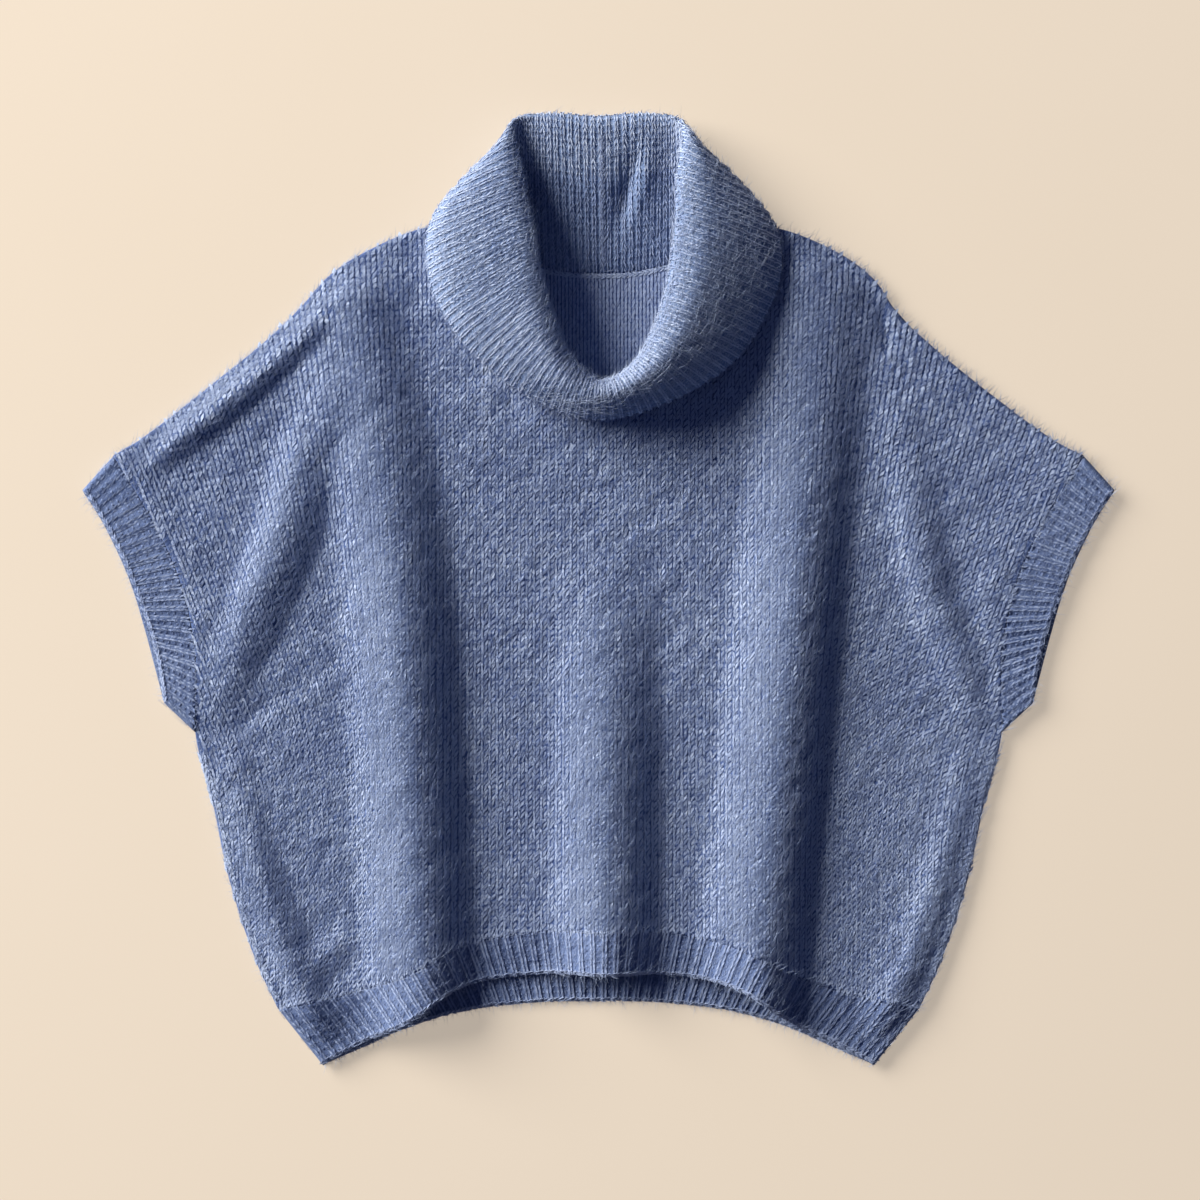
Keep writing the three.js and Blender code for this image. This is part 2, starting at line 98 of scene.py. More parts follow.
def painted_board():
    """Matt warm board, lit a little from within as a light table is, so that its shadows stay soft."""
    material = new_material("matt painted board")
    tree = material.node_tree
    place = add_node(tree, "ShaderNodeTexCoord")
    cloud = add_node(tree, "ShaderNodeTexNoise", {
        "Vector": place.outputs["Object"], "Scale": 1 / FLOOR_CLOUD, "Detail": 2.0})
    mix = add_node(tree, "ShaderNodeMix", data_type="RGBA", inputs={
        0: cloud.outputs["Fac"], 6: linear_colour(FLOOR_COLOUR), 7: linear_colour(FLOOR_SHADE)})
    shader = add_node(tree, "ShaderNodeBsdfPrincipled", {
        "Base Color": mix.outputs[2], "Roughness": 0.8, "Specular IOR Level": 0.2,
        "Emission Color": linear_colour(FLOOR_GLOW_COLOUR), "Emission Strength": FLOOR_GLOW})
    add_node(tree, "ShaderNodeOutputMaterial", {"Surface": shader.outputs[0]})
    return material


camera_data = bpy.data.cameras.new("camera")
camera_data.lens = LENS_MM
camera_data.sensor_width = SENSOR_MM
camera = link_object("camera", camera_data)
camera.location = (*SIGHT_CENTRE, CAMERA_HEIGHT)
bpy.context.scene.camera = camera
bpy.context.scene.view_settings.view_transform = "Standard"

lamp_data = bpy.data.lights.new("lamp", "AREA")
lamp_data.shape = "ELLIPSE"
lamp_data.size = LAMP_WIDTH
lamp_data.size_y = LAMP_TALL
lamp_data.energy = LAMP_STRENGTH * math.pi * LAMP_AWAY ** 2
lamp_data.color = linear_colour(LAMP_COLOUR)[:3]
lamp = link_object("lamp", lamp_data)
lamp.location = Vector(LAMP_FROM).normalized() * LAMP_AWAY
lamp.rotation_euler = Vector(LAMP_FROM).to_track_quat("Z", "Y").to_euler()

room = bpy.data.worlds.new("room")
room.use_nodes = True
room.node_tree.nodes["Background"].inputs["Color"].default_value = linear_colour(FILL_COLOUR)
room.node_tree.nodes["Background"].inputs["Strength"].default_value = FILL_STRENGTH
bpy.context.scene.world = room

floor_mesh = bpy.data.meshes.new("floor")
reach = FLOOR_SIZE / 2
floor_mesh.from_pydata(
    [(-reach, -reach, -FLOOR_DROP), (reach, -reach, -FLOOR_DROP),
     (reach, reach, -FLOOR_DROP), (-reach, reach, -FLOOR_DROP)], [], [(0, 1, 2, 3)])
floor_mesh.materials.append(painted_board())
link_object("floor", floor_mesh)

# Back panel
# The lower half of the body, knitted plain in a brushed mohair blend and laid flat on its right side.
# Its stitches show inside the neck. The outline tables run from the sleeve to the hem, in metres.
CLOTH = 0.003
SEAM_GAP = 0.0003
GROUND = 0.0022
WALE = 0.0059
COURSE = 0.0044
LEFT_SHOULDER = [
    (-0.3875, 0.107), (-0.368, 0.1185), (-0.300, 0.171), (-0.2675, 0.1975),
    (-0.239, 0.2245), (-0.214, 0.252), (-0.186, 0.270), (-0.134, 0.290)]
RIGHT_SHOULDER = [
    (0.3875, 0.107), (0.368, 0.1165), (0.304, 0.1635), (0.262, 0.1985),
    (0.238, 0.2215), (0.221, 0.247), (0.190, 0.270), (0.136, 0.290)]
CUFF_SEAM = [(0.3875, 0.107), (0.356, 0.055), (0.335, 0.010), (0.322, -0.048), (0.322, -0.1145)]
SIDE_SEAM = [
    (0.322, -0.1145), (0.318, -0.137), (0.309, -0.168), (0.295, -0.232), (0.274, -0.296), (0.256, -0.335)]
BACK_HEM_SEAM = [
    (0.256, -0.335), (0.200, -0.332), (0.155, -0.318), (0.110, -0.304), (0.050, -0.296), (0.0, -0.295)]

# The neck seam, a place for each section of the collar, from the middle of the back over the left side.
NECK_SEAM = [
    (0.0, 0.254), (-0.038, 0.257), (-0.073, 0.268), (-0.098, 0.286), (-0.095, 0.249), (-0.085, 0.212),
    (-0.066, 0.181), (-0.037, 0.159), (0.0, 0.150), (0.038, 0.159), (0.068, 0.182), (0.087, 0.212),
    (0.097, 0.249), (0.099, 0.286), (0.073, 0.268), (0.038, 0.257)]
NECK_LEFT = 3
NECK_RIGHT = 13
NECK_FROM = 0.32
NECK_TO = 0.68
NECK_GROOVE = 0.0015
NECK_GROOVE_END = 0.006
EDGE_ROUND = 0.004
SIDE_FROM = 0.5
SIDE_FADE = 0.04
BODY_YARN = "#A6B5D3"
BODY_DEEP = "#8A9ABF"
BODY_PALE = "#B6C4DD"
# The ground between the stitches is darker than their yarn: painted shade in the gaps between the legs.
GROUND_SHADED_PALE = "#697CA9"
GROUND_SHADED_YARN = "#556999"
GROUND_SHADED_DEEP = "#3F5281"
FIBRE_SIZE = 0.0008
FIBRE_LENGTH = 0.0065
BRUSHED_TURN = math.radians(58)
PATCH_SIZE = 1 / 14
SHEEN_TINT = "#C4CEE6"
EDGE_THINS = 0.75


def ease(t):
    t = np.clip(t, 0, 1)
    return t * t * (3 - 2 * t)


def round_off(t):
    """A quarter circle's drop, from 0 where t is 0 to 1 where t is 1."""
    return 1 - np.sqrt(1 - t ** 2)


def through(a, b, c, d, t):
    """A smooth step from b to c, with a before them and d after."""
    return (2 * b + (c - a) * t + (2 * a - 5 * b + 4 * c - d) * t ** 2
            + (3 * b - a - 3 * c + d) * t ** 3) / 2


def unit(vectors):
    return vectors / np.maximum(np.linalg.norm(vectors, axis=-1, keepdims=True), 1e-12)


def smooth_line(places, per_span=24):
    """A smooth curve through places, read by its fraction of length."""
    p = np.array(places, float)
    p = np.vstack([2 * p[0] - p[1], p, 2 * p[-1] - p[-2]])
    t = np.linspace(0, 1, per_span, endpoint=False)[:, None]
    points = []
    for a, b, c, d in zip(p, p[1:], p[2:], p[3:]):
        before, span, after = (np.linalg.norm(q) ** 0.5 for q in (b - a, c - b, d - c))
        leave = ((b - a) / before - (c - a) / (before + span) + (c - b) / span) * span
        arrive = ((c - b) / span - (d - b) / (span + after) + (d - c) / after) * span
        points.append(
            b + leave * t + (3 * (c - b) - 2 * leave - arrive) * t ** 2
            + (2 * (b - c) + leave + arrive) * t ** 3)
    points = np.vstack([*points, p[-2]])
    far = np.concatenate([[0], np.cumsum(np.linalg.norm(np.diff(points, axis=0), axis=1))])

    def at(fraction):
        where = np.clip(fraction, 0, 1) * far[-1]
        return np.stack([np.interp(where, far, points[:, k]) for k in range(points.shape[1])], -1)
    return at


def mirrored(places):
    return [(-x, y) for x, y in places]


def line_across(half):
    """An edge line from the left side to the right side, from its right half."""
    return smooth_line([*mirrored(half), *half[-2::-1]])


def round_neck(values, station):
    """Values given for each section of the collar, read smoothly between the sections."""
    values = np.array(values, float)
    count = len(values)
    whole = np.floor(station).astype(int)
    t = station - whole
    a, b, c, d = (values[(whole + k) % count] for k in (-1, 0, 1, 2))
    if values.ndim > 1:
        t = t[..., None]
    return through(a, b, c, d, t)


def body_side(turn):
    """A panel's side: the cuff seam takes its upper half, the side seam its lower half."""
    cuff = smooth_line([(x * turn, y) for x, y in CUFF_SEAM])
    side = smooth_line([(x * turn, y) for x, y in SIDE_SEAM])

    def at(v):
        return np.where(v[..., None] < SIDE_FROM, cuff(v * 2), side(v * 2 - 1))
    return at


left_side = body_side(-1)
right_side = body_side(1)


def top_line(neck_start, neck_end):
    """A panel's top: left shoulder, neck seam and right shoulder."""
    ends = round_neck(NECK_SEAM, np.array([NECK_LEFT, NECK_RIGHT], float))
    left = smooth_line([*LEFT_SHOULDER, tuple(ends[0])])
    right = smooth_line([*RIGHT_SHOULDER, tuple(ends[1])])

    def at(s):
        along_neck = np.clip((s - NECK_FROM) / (NECK_TO - NECK_FROM), 0, 1)
        neck = round_neck(NECK_SEAM, neck_start + (neck_end - neck_start) * along_neck)
        shoulders = np.where(s[..., None] < 0.5, left(s / NECK_FROM), right((1 - s) / (1 - NECK_TO)))
        on_neck = (s > NECK_FROM) & (s < NECK_TO)
        return np.where(on_neck[..., None], neck, shoulders)
    return at


def panel_plan(top, hem):
    """A panel's plan, spanned between its four lines: s runs from left to right, v from top to hem."""
    one = np.ones(1)
    corners = [side(end)[0] for end in (one * 0, one) for side in (left_side, right_side)]

    def at(s, v):
        s, v = np.broadcast_arrays(np.asarray(s, float), np.asarray(v, float))
        ss, vv = s[..., None], v[..., None]
        between = top(s) * (1 - vv) + hem(s) * vv + left_side(v) * (1 - ss) + right_side(v) * ss
        upper = corners[0] * (1 - ss) + corners[1] * ss
        lower = corners[2] * (1 - ss) + corners[3] * ss
        return between - upper * (1 - vv) - lower * vv
    return at


def panel_steps(shoulder, neck, rows):
    """Fractions for the columns and rows of a panel, closer together at its edges."""
    near_edge = np.array([0.0015, 0.0035, 0.0065])
    columns = np.concatenate([
        np.linspace(0, NECK_FROM, shoulder), np.linspace(NECK_FROM, NECK_TO, neck),
        np.linspace(NECK_TO, 1, shoulder), near_edge, 1 - near_edge])
    row_steps = np.concatenate([np.linspace(0, 1, rows), near_edge])
    return np.unique(np.round(columns, 6)), np.unique(np.round(row_steps, 6))


def edge_drop(s, v, plan, radius=EDGE_ROUND):
    """How far the cloth's face turns down towards its free edges."""
    width = np.linalg.norm(plan(np.ones_like(s), v) - plan(np.zeros_like(s), v), axis=-1)
    height = np.linalg.norm(plan(s, np.ones_like(v)) - plan(s, np.zeros_like(v)), axis=-1)
    on_shoulder = (s <= NECK_FROM) | (s >= NECK_TO)
    to_top = np.where(on_shoulder, v * height, radius)
    to_side = np.minimum(s, 1 - s) * width + radius * (1 - ease((v - SIDE_FROM) / SIDE_FADE))
    inside = np.clip(np.minimum(to_side, to_top) / radius, 0, 1)
    return GROUND * EDGE_THINS * round_off(1 - inside)


def wall_mesh(name, outer, inner, ring=False):
    """A closed wall between two grids of points. A ring's rows close on themselves."""
    sizes = [grid.shape[0] * grid.shape[1] for grid in (outer, inner)]
    ids = [np.arange(n).reshape(grid.shape[:2]) + start
           for n, grid, start in zip(sizes, (outer, inner), (0, sizes[0]))]
    faces = []
    for grid, turned in zip(ids, (False, True)):
        wide = np.hstack([grid, grid[:, :1]]) if ring else grid
        a, b, c, d = (q.ravel() for q in (wide[:-1, :-1], wide[:-1, 1:], wide[1:, 1:], wide[1:, :-1]))
        faces += np.stack([a, d, c, b] if turned else [a, b, c, d], 1).tolist()

    def join_rows(upper, lower):
        i = j = 0
        while i + 1 < len(upper) or j + 1 < len(lower):
            if (i + 1) * (len(lower) - 1) <= (j + 1) * (len(upper) - 1):
                faces.append([upper[i + 1], upper[i], lower[j]])
                i += 1
            else:
                faces.append([lower[j], lower[j + 1], upper[i]])
                j += 1

    def borders(grid):
        if ring:
            return [[*grid[0], grid[0, 0]], [grid[-1, 0], *grid[-1, ::-1]]]
        return [list(grid[0]), list(grid[:, -1]), list(grid[-1, ::-1]), list(grid[::-1, 0])]

    for upper, lower in zip(borders(ids[0]), borders(ids[1])):
        join_rows(upper, lower)
    points = np.vstack([outer.reshape(-1, 3), inner.reshape(-1, 3)])
    points[:, 2] = np.maximum(points[:, 2], 0)
    volume = 0
    for a, b, c, *rest in faces:
        volume += points[a] @ np.cross(points[b], points[c])
        if rest:
            volume += points[a] @ np.cross(points[c], points[rest[0]])
    if volume < 0:
        faces = [face[::-1] for face in faces]
    mesh = bpy.data.meshes.new(name)
    mesh.from_pydata(points.tolist(), [], [[int(k) for k in face] for face in faces])
    mesh.shade_smooth()
    wide = outer.shape[1] if ring else outer.shape[1] - 1
    pile = np.zeros(len(faces), np.float32)
    pile[:(outer.shape[0] - 1) * wide] = 1
    mesh.attributes.new("pile", "FLOAT", "FACE").data.foreach_set("value", pile)
    return mesh


def sparser(grid, row_step=2, column_step=2, ring=False):
    """Every few rows and columns of a grid, always with the last."""
    rows = np.unique([*range(0, grid.shape[0], row_step), grid.shape[0] - 1])
    columns = np.arange(0, grid.shape[1], column_step)
    if not ring:
        columns = np.unique([*columns, grid.shape[1] - 1])
    return grid[np.ix_(rows, columns)]


def brushed_yarn(name, middle, deep, pale, sheen):
    """A brushed mohair and wool blend: loosely spun and raised, so it is matt with a pale soft sheen,
    uneven in colour from stitch to stitch, and its finest relief is the fibres themselves."""
    material = new_material(name)
    tree = material.node_tree
    place = add_node(tree, "ShaderNodeTexCoord").outputs["Object"]
    patches = add_node(tree, "ShaderNodeTexNoise", {
        "Vector": place, "Scale": 1 / PATCH_SIZE, "Detail": 3.0})
    along = add_node(tree, "ShaderNodeMapping", {
        "Vector": place, "Rotation": (0, 0, BRUSHED_TURN), "Scale": (FIBRE_LENGTH, FIBRE_SIZE, FIBRE_SIZE),
    }, vector_type="TEXTURE").outputs[0]
    flecks = add_node(tree, "ShaderNodeTexNoise", {
        "Vector": along, "Scale": 1.0, "Detail": 2.0, "Roughness": 0.6, "Distortion": 0.8})
    mixed = add_node(tree, "ShaderNodeMix", data_type="FLOAT", inputs={
        0: 0.75, 2: patches.outputs["Fac"], 3: flecks.outputs["Fac"]})
    ramp = add_node(tree, "ShaderNodeValToRGB", {"Fac": mixed.outputs[0]})
    stops = ramp.color_ramp.elements
    stops[0].position, stops[0].color = 0.36, linear_colour(deep)
    stops[1].position, stops[1].color = 0.64, linear_colour(pale)
    centre = stops.new(0.5)
    centre.color = linear_colour(middle)
    bump = add_node(tree, "ShaderNodeBump", {
        "Height": flecks.outputs["Fac"], "Strength": 0.8, "Distance": FIBRE_SIZE * 0.5})
    shader = add_node(tree, "ShaderNodeBsdfPrincipled", {
        "Base Color": ramp.outputs["Color"], "Roughness": 0.92, "Specular IOR Level": 0.15,
        "Sheen Weight": sheen, "Sheen Roughness": 0.45, "Sheen Tint": linear_colour(SHEEN_TINT),
        "Normal": bump.outputs["Normal"]})
    add_node(tree, "ShaderNodeOutputMaterial", {"Surface": shader.outputs[0]})
    return material


body_yarn = brushed_yarn("brushed mohair yarn, body", BODY_YARN, BODY_DEEP, BODY_PALE, 0.35)
# The cloth shells under the stitches take this darker ground, painted shade between the stitches.
body_shaded_ground = brushed_yarn("knit ground between stitches", GROUND_SHADED_YARN, GROUND_SHADED_DEEP, GROUND_SHADED_PALE, 0.1)


def cloth_piece(name, mesh, material, node):
    """A cloth shell that stands for its plain solid."""
    mesh.materials.append(material)
    piece = link_object(name, mesh)
    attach(piece, "root")
    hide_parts(node)
    return piece


def new_tree(name, **inputs):
    """A node tree with its named inputs and one output of geometry."""
    tree = bpy.data.node_groups.new(name, "GeometryNodeTree")
    for label, kind in inputs.items():
        tree.interface.new_socket(
            name=label.replace("_", " "), in_out="INPUT", socket_type="NodeSocket" + kind)
    tree.interface.new_socket(name="Made", in_out="OUTPUT", socket_type="NodeSocketGeometry")
    return tree, add_node(tree, "NodeGroupInput").outputs


def end_tree(tree, made, yarn):
    """Makes the instances plain and gives them their yarn."""
    plain = add_node(tree, "GeometryNodeRealizeInstances", {"Geometry": made.outputs[0]})
    dyed = add_node(tree, "GeometryNodeSetMaterial", {"Geometry": plain.outputs[0], "Material": yarn})
    add_node(tree, "NodeGroupOutput", {"Made": dyed.outputs[0]})
    return tree


def named_value(tree, name, kind="FLOAT"):
    found = add_node(tree, "GeometryNodeInputNamedAttribute", {"Name": name}, data_type=kind)
    return found.outputs["Attribute"]


def random_between(tree, low, high, seed, seed_shift):
    shifted = add_node(tree, "ShaderNodeMath", {0: seed, 1: seed_shift}, operation="ADD")
    return add_node(tree, "FunctionNodeRandomValue", {
        2: low, 3: high, "Seed": shifted.outputs[0]}, data_type="FLOAT").outputs[1]


def random_spread(tree, value, seed, seed_shift):
    """A random number between a value's negative and the value."""
    low = add_node(tree, "ShaderNodeMath", {0: value, 1: -1.0}, operation="MULTIPLY")
    return random_between(tree, low.outputs[0], value, seed, seed_shift)


def laid_along(tree, facing, up, turns):
    """A rotation that faces one way and runs up another, then turned about its own axes."""
    level = add_node(tree, "FunctionNodeAxesToRotation", {
        "Primary Axis": facing, "Secondary Axis": up}, primary_axis="Z", secondary_axis="Y")
    turn = add_node(tree, "FunctionNodeEulerToRotation", {0: turns.outputs[0]})
    return add_node(tree, "FunctionNodeRotateRotation", {
        "Rotation": level.outputs[0], "Rotate By": turn.outputs[0]}, rotation_space="LOCAL").outputs[0]


def knit_tree():
    """Sets one leg of a stitch on each point, turned to its row and leaning to its side."""
    tree, given = new_tree(
        "stitch legs on points", Points="Geometry", Turn_spread="Float", Size_spread="Float",
        Scatter="Float", Seed="Int", Yarn="Material")

    def spread(value, seed_shift):
        return random_spread(tree, value, given["Seed"], seed_shift)

    def spread_vector(value, seed_shift):
        axes = [spread(value, seed_shift + k) for k in range(3)]
        return add_node(tree, "ShaderNodeCombineXYZ", dict(enumerate(axes))).outputs[0]

    grain = add_node(tree, "GeometryNodeMeshUVSphere", {"Segments": 4, "Rings": 2, "Radius": 0.5})
    flat_up = add_node(tree, "GeometryNodeTransform", {
        "Geometry": grain.outputs["Mesh"], "Rotation": (0, 0, math.pi / 4)})
    leg = add_node(tree, "GeometryNodeTransform", {
        "Geometry": flat_up.outputs[0], "Rotation": (math.pi / 2, 0, 0)})

    lean = add_node(tree, "ShaderNodeMath", {
        0: named_value(tree, "lean"), 1: spread(given["Turn spread"], 11)}, operation="ADD")
    turns = add_node(tree, "ShaderNodeCombineXYZ", {
        "X": spread(given["Turn spread"], 12), "Y": spread(given["Turn spread"], 13), "Z": lean.outputs[0]})
    facing, up, own_size = (named_value(tree, name, "FLOAT_VECTOR") for name in ("facing", "up", "size"))
    larger = add_node(tree, "ShaderNodeVectorMath", {
        0: spread_vector(given["Size spread"], 21), 1: (1.0, 1.0, 1.0)}, operation="ADD")
    size = add_node(tree, "ShaderNodeVectorMath", {
        0: own_size, 1: larger.outputs[0]}, operation="MULTIPLY")
    moved = add_node(tree, "GeometryNodeSetPosition", {
        "Geometry": given["Points"], "Offset": spread_vector(given["Scatter"], 31)})
    legs = add_node(tree, "GeometryNodeInstanceOnPoints", {
        "Points": moved.outputs[0], "Instance": leg.outputs[0],
        "Rotation": laid_along(tree, facing, up, turns), "Scale": size.outputs[0]})
    return end_tree(tree, legs, given["Yarn"])


KNIT_TREE = knit_tree()


def grown(piece, tree, values):
    """Runs a node tree on a piece with the named values and keeps the result as its plain mesh."""
    modifier = piece.modifiers.new("grown", "NODES")
    modifier.node_group = tree
    for item in tree.interface.items_tree:
        if item.item_type == "SOCKET" and item.in_out == "INPUT" and item.name in values:
            modifier[item.identifier] = values[item.name]
    evaluated = piece.evaluated_get(bpy.context.evaluated_depsgraph_get())
    mesh = bpy.data.meshes.new_from_object(evaluated)
    piece.modifiers.clear()
    source = piece.data
    piece.data = mesh
    mesh.name = piece.name
    bpy.data.meshes.remove(source)
    for name in ("facing", "up", "lean", "size"):
        if name in mesh.attributes:
            mesh.attributes.remove(mesh.attributes[name])
    return piece


def set_down(piece):
    """Puts yarn on the body, flattened where it would reach below what the sweater lies on."""
    places = np.empty(len(piece.data.vertices) * 3, np.float32)
    piece.data.vertices.foreach_get("co", places)
    places[2::3] = np.maximum(places[2::3], 0)
    piece.data.vertices.foreach_set("co", places)
    piece.data.update()
    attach(piece, "root")
    return piece


def leg_rows(centres, facing, up, lean, size):
    """The points of stitch legs with the directions and sizes that the tree reads."""
    count = len(centres)
    return {
        "place": centres, "facing": facing, "up": up,
        "lean": np.broadcast_to(lean, count).astype(float),
        "size": np.broadcast_to(size, (count, 3)).astype(float)}


def joined_legs(parts):
    return {key: np.concatenate([part[key] for part in parts]) for key in parts[0]}


def knit_piece(name, legs, material, slot, seed, turn=0.17, size=0.18, scatter=0.0003):
    """Stitches as a mesh of their own on a cloth shell."""
    mesh = bpy.data.meshes.new(name)
    mesh.from_pydata(legs["place"].tolist(), [], [])
    for key, kind, field in (("facing", "FLOAT_VECTOR", "vector"), ("up", "FLOAT_VECTOR", "vector"),
                             ("lean", "FLOAT", "value"), ("size", "FLOAT_VECTOR", "vector")):
        layer = mesh.attributes.new(key, kind, "POINT")
        layer.data.foreach_set(field, np.ascontiguousarray(legs[key], np.float32).ravel())
    piece = grown(link_object(name, mesh), KNIT_TREE, {
        "Turn spread": turn, "Size spread": size, "Scatter": scatter, "Seed": seed, "Yarn": material})
    return set_down(piece)


LEG_LEAN = math.radians(19)
LEG_WIDTH = 0.54
LEG_REACH = 1.9
LEG_HEIGHT = 0.0010
LEG_RAISED = 0.0002
LEG_ASIDE = 0.25
PURL_THICK = 0.42
PURL_WIDE = 0.95
PURL_HEIGHT = 0.0018
BRUSHED_SKEW = math.radians(-8)


def plain_stitches(centres, facing, up, wale, course, height=LEG_HEIGHT, width=LEG_WIDTH, lean=LEG_LEAN,
                   skew=0.0):
    """The two legs of each plain stitch, a V that points down and that brushing may skew."""
    wale = np.broadcast_to(wale, len(centres))
    course = np.broadcast_to(course, len(centres))
    across = np.cross(up, facing)
    size = np.stack([wale * width, course * LEG_REACH, np.full(len(centres), height)], 1)
    legs = []
    for side in (-1, 1):
        places = centres + across * (side * wale * LEG_ASIDE)[:, None] + facing * LEG_RAISED
        legs.append(leg_rows(places, facing, up, skew - side * lean, size))
    return joined_legs(legs)


def purl_bumps(centres, facing, up, wale, course):
    """The head of each purl stitch, a short bar across the column."""
    wale = np.broadcast_to(wale, len(centres))
    course = np.broadcast_to(course, len(centres))
    across = np.cross(up, facing)
    size = np.stack([course * PURL_THICK, wale * PURL_WIDE, np.full(len(centres), PURL_HEIGHT)], 1)
    return leg_rows(centres, facing, across, 0.0, size)


def surface_tree(grid):
    """A grid's surface as a search tree, to find where something lands on it."""
    rows, columns = grid.shape[:2]
    ids = np.arange(rows * columns).reshape(rows, columns)
    quads = np.stack([ids[:-1, :-1], ids[:-1, 1:], ids[1:, 1:], ids[1:, :-1]], -1).reshape(-1, 4)
    return BVHTree.FromPolygons(grid.reshape(-1, 3).tolist(), quads.tolist())


DROP_HEIGHT = 0.2


def dropped(places, tree):
    """The places where plan points land on a surface from above, with the surface's direction there."""
    found, facing, kept = [], [], []
    for k, (x, y) in enumerate(places):
        spot, normal, _, _ = tree.ray_cast(Vector((x, y, DROP_HEIGHT)), Vector((0, 0, -1)))
        if spot is not None:
            found.append(spot[:])
            facing.append((normal if normal.z > 0 else -normal)[:])
            kept.append(k)
    return np.array(found).reshape(-1, 3), np.array(facing).reshape(-1, 3), np.array(kept, int)


back_top = top_line(NECK_LEFT, NECK_RIGHT - len(NECK_SEAM))
back_hem_seam = line_across(BACK_HEM_SEAM)
back_plan = panel_plan(back_top, back_hem_seam)
back_columns, back_rows = panel_steps(shoulder=26, neck=40, rows=70)
s, v = np.meshgrid(back_columns, back_rows)
plan = back_plan(s, v)
on_neck = (s > NECK_FROM) & (s < NECK_TO)
upper = np.dstack([plan, GROUND - NECK_GROOVE * on_neck * (1 - ease(v / NECK_GROOVE_END))])
lower = np.dstack([plan, edge_drop(s, v, back_plan)])
back = cloth_piece("back_cloth", wall_mesh("back_cloth", upper, sparser(lower)), body_shaded_ground,
                   "back_panel")


def read_grid(grid, row, column, ring=False):
    """Points of a grid read between its rows and columns."""
    rows, columns = grid.shape[:2]
    row = np.clip(row, 0, rows - 1.000001)
    column = column % columns if ring else np.clip(column, 0, columns - 1.000001)
    i, j = np.floor(row).astype(int), np.floor(column).astype(int)
    a, b = (row - i)[:, None], (column - j)[:, None]
    i2, j2 = i + 1, (j + 1) % columns
    return (grid[i, j] * (1 - a) * (1 - b) + grid[i, j2] * (1 - a) * b
            + grid[i2, j] * a * (1 - b) + grid[i2, j2] * a * b)


def grid_facing(grid, ring=False):
    """The direction that each point of a grid faces, up where the grid lies flat."""
    down = np.gradient(grid, axis=0)
    if ring:
        right = (np.roll(grid, -1, axis=1) - np.roll(grid, 1, axis=1)) / 2
    else:
        right = np.gradient(grid, axis=1)
    return unit(np.cross(down, right))


def grid_places(grid, row, column, ring=False, step=0.35):
    """Places on a grid with the directions that it faces and that its rows run up."""
    facing = unit(read_grid(grid_facing(grid, ring), row, column, ring))
    above = read_grid(grid, row - step, column, ring)
    below = read_grid(grid, row + step, column, ring)
    up = above - below
    up = unit(up - facing * np.sum(up * facing, axis=1, keepdims=True))
    return read_grid(grid, row, column, ring), facing, up


# Inside the neck the back shows its stitches, in a darker yarn that paints the shade under the collar.
INNER_LEFT, INNER_RIGHT = -0.074, 0.080
INNER_LOW, INNER_HIGH = 0.124, 0.262
INNER_LEAN = math.radians(14)
# Darker than the body's yarn: painted shade inside the neck, under the collar.
INNER_SHADED_YARN = "#94A4C8"
INNER_SHADED_DEEP = "#7B8BB3"
INNER_SHADED_PALE = "#A7B5D3"
inner_shaded_yarn = brushed_yarn("mohair yarn, unbrushed inner side", INNER_SHADED_YARN, INNER_SHADED_DEEP, INNER_SHADED_PALE, 0.2)
inner_x, inner_y = np.meshgrid(
    np.arange(INNER_LEFT, INNER_RIGHT, WALE), np.arange(INNER_LOW, INNER_HIGH, COURSE))
back_tree = surface_tree(upper)
spots, facing, _ = dropped(np.stack([inner_x.ravel(), inner_y.ravel()], 1), back_tree)
flat_up = np.broadcast_to([0.0, 1.0, 0.0], spots.shape)
back_stitches = knit_piece("back_inner_stitches", plain_stitches(
    spots, facing, flat_up, WALE, COURSE, lean=INNER_LEAN), inner_shaded_yarn, "body_knit", seed=3,
    turn=0.1, size=0.12, scatter=0.00015)

# Hem band of the back
# Single rib knitted on along the lower edge: pairs of raised legs over a recessed purl ground, and a
# cast-off edge that draws in a little. It lies on the surface, its ribs up.
RIB_RISE = 0.0012
RIB_FORM = 0.0007
HEM_RIBS = 54
RIB_STEPS = 6
RIB_FILL = 0.60
BACK_HEM_EDGE = [
    (0.220, -0.380), (0.188, -0.366), (0.155, -0.351), (0.110, -0.3375), (0.050, -0.330), (0.0, -0.329)]
RIB_YARN = "#909FC1"
RIB_DEEP = "#7484AA"
RIB_PALE = "#A4B2D0"
rib_yarn = brushed_yarn("brushed mohair yarn, rib", RIB_YARN, RIB_DEEP, RIB_PALE, 0.35)
# The ground between the ribs is darker than the rib yarn: painted shade in the recesses between the ribs.
RIB_SHADED_GROUND = "#63749B"
RIB_SHADED_GROUND_DEEP = "#485A85"
RIB_BAR = "#7B8BB1"
RIB_LEAN = math.radians(10)
RIB_START = 0.22
RIB_LEG_HEIGHT = 0.0012
RIB_LEG_WIDTH = 0.38
RIB_PITCH = 0.0092
TURN_FROM = 0.93
TURN_REACH = 0.07
HEM_TURNS_DOWN = 0.8
HEM_TURNS_UP = 0.5
HEM_WIDTH = 0.5
HEM_RIM = 0.0005
HEM_RIM_AT = 0.94
HEM_RIM_WIDE = 0.04
HEM_READ_ROWS = 25
# The bands' shells under the ribs take this darker ground, painted shade.
rib_shaded_ground = brushed_yarn("recessed ground between ribs", RIB_SHADED_GROUND, RIB_SHADED_GROUND_DEEP, RIB_BAR, 0.1)
rib_bar = brushed_yarn("purl bars between ribs", RIB_BAR, RIB_SHADED_GROUND, RIB_YARN, 0.2)


def rib_wave(position, ribs):
    """The raised rib in each repeat, from 0 in the ground to 1 on the rib."""
    return 0.5 - 0.5 * np.cos(2 * math.pi * ribs * position)


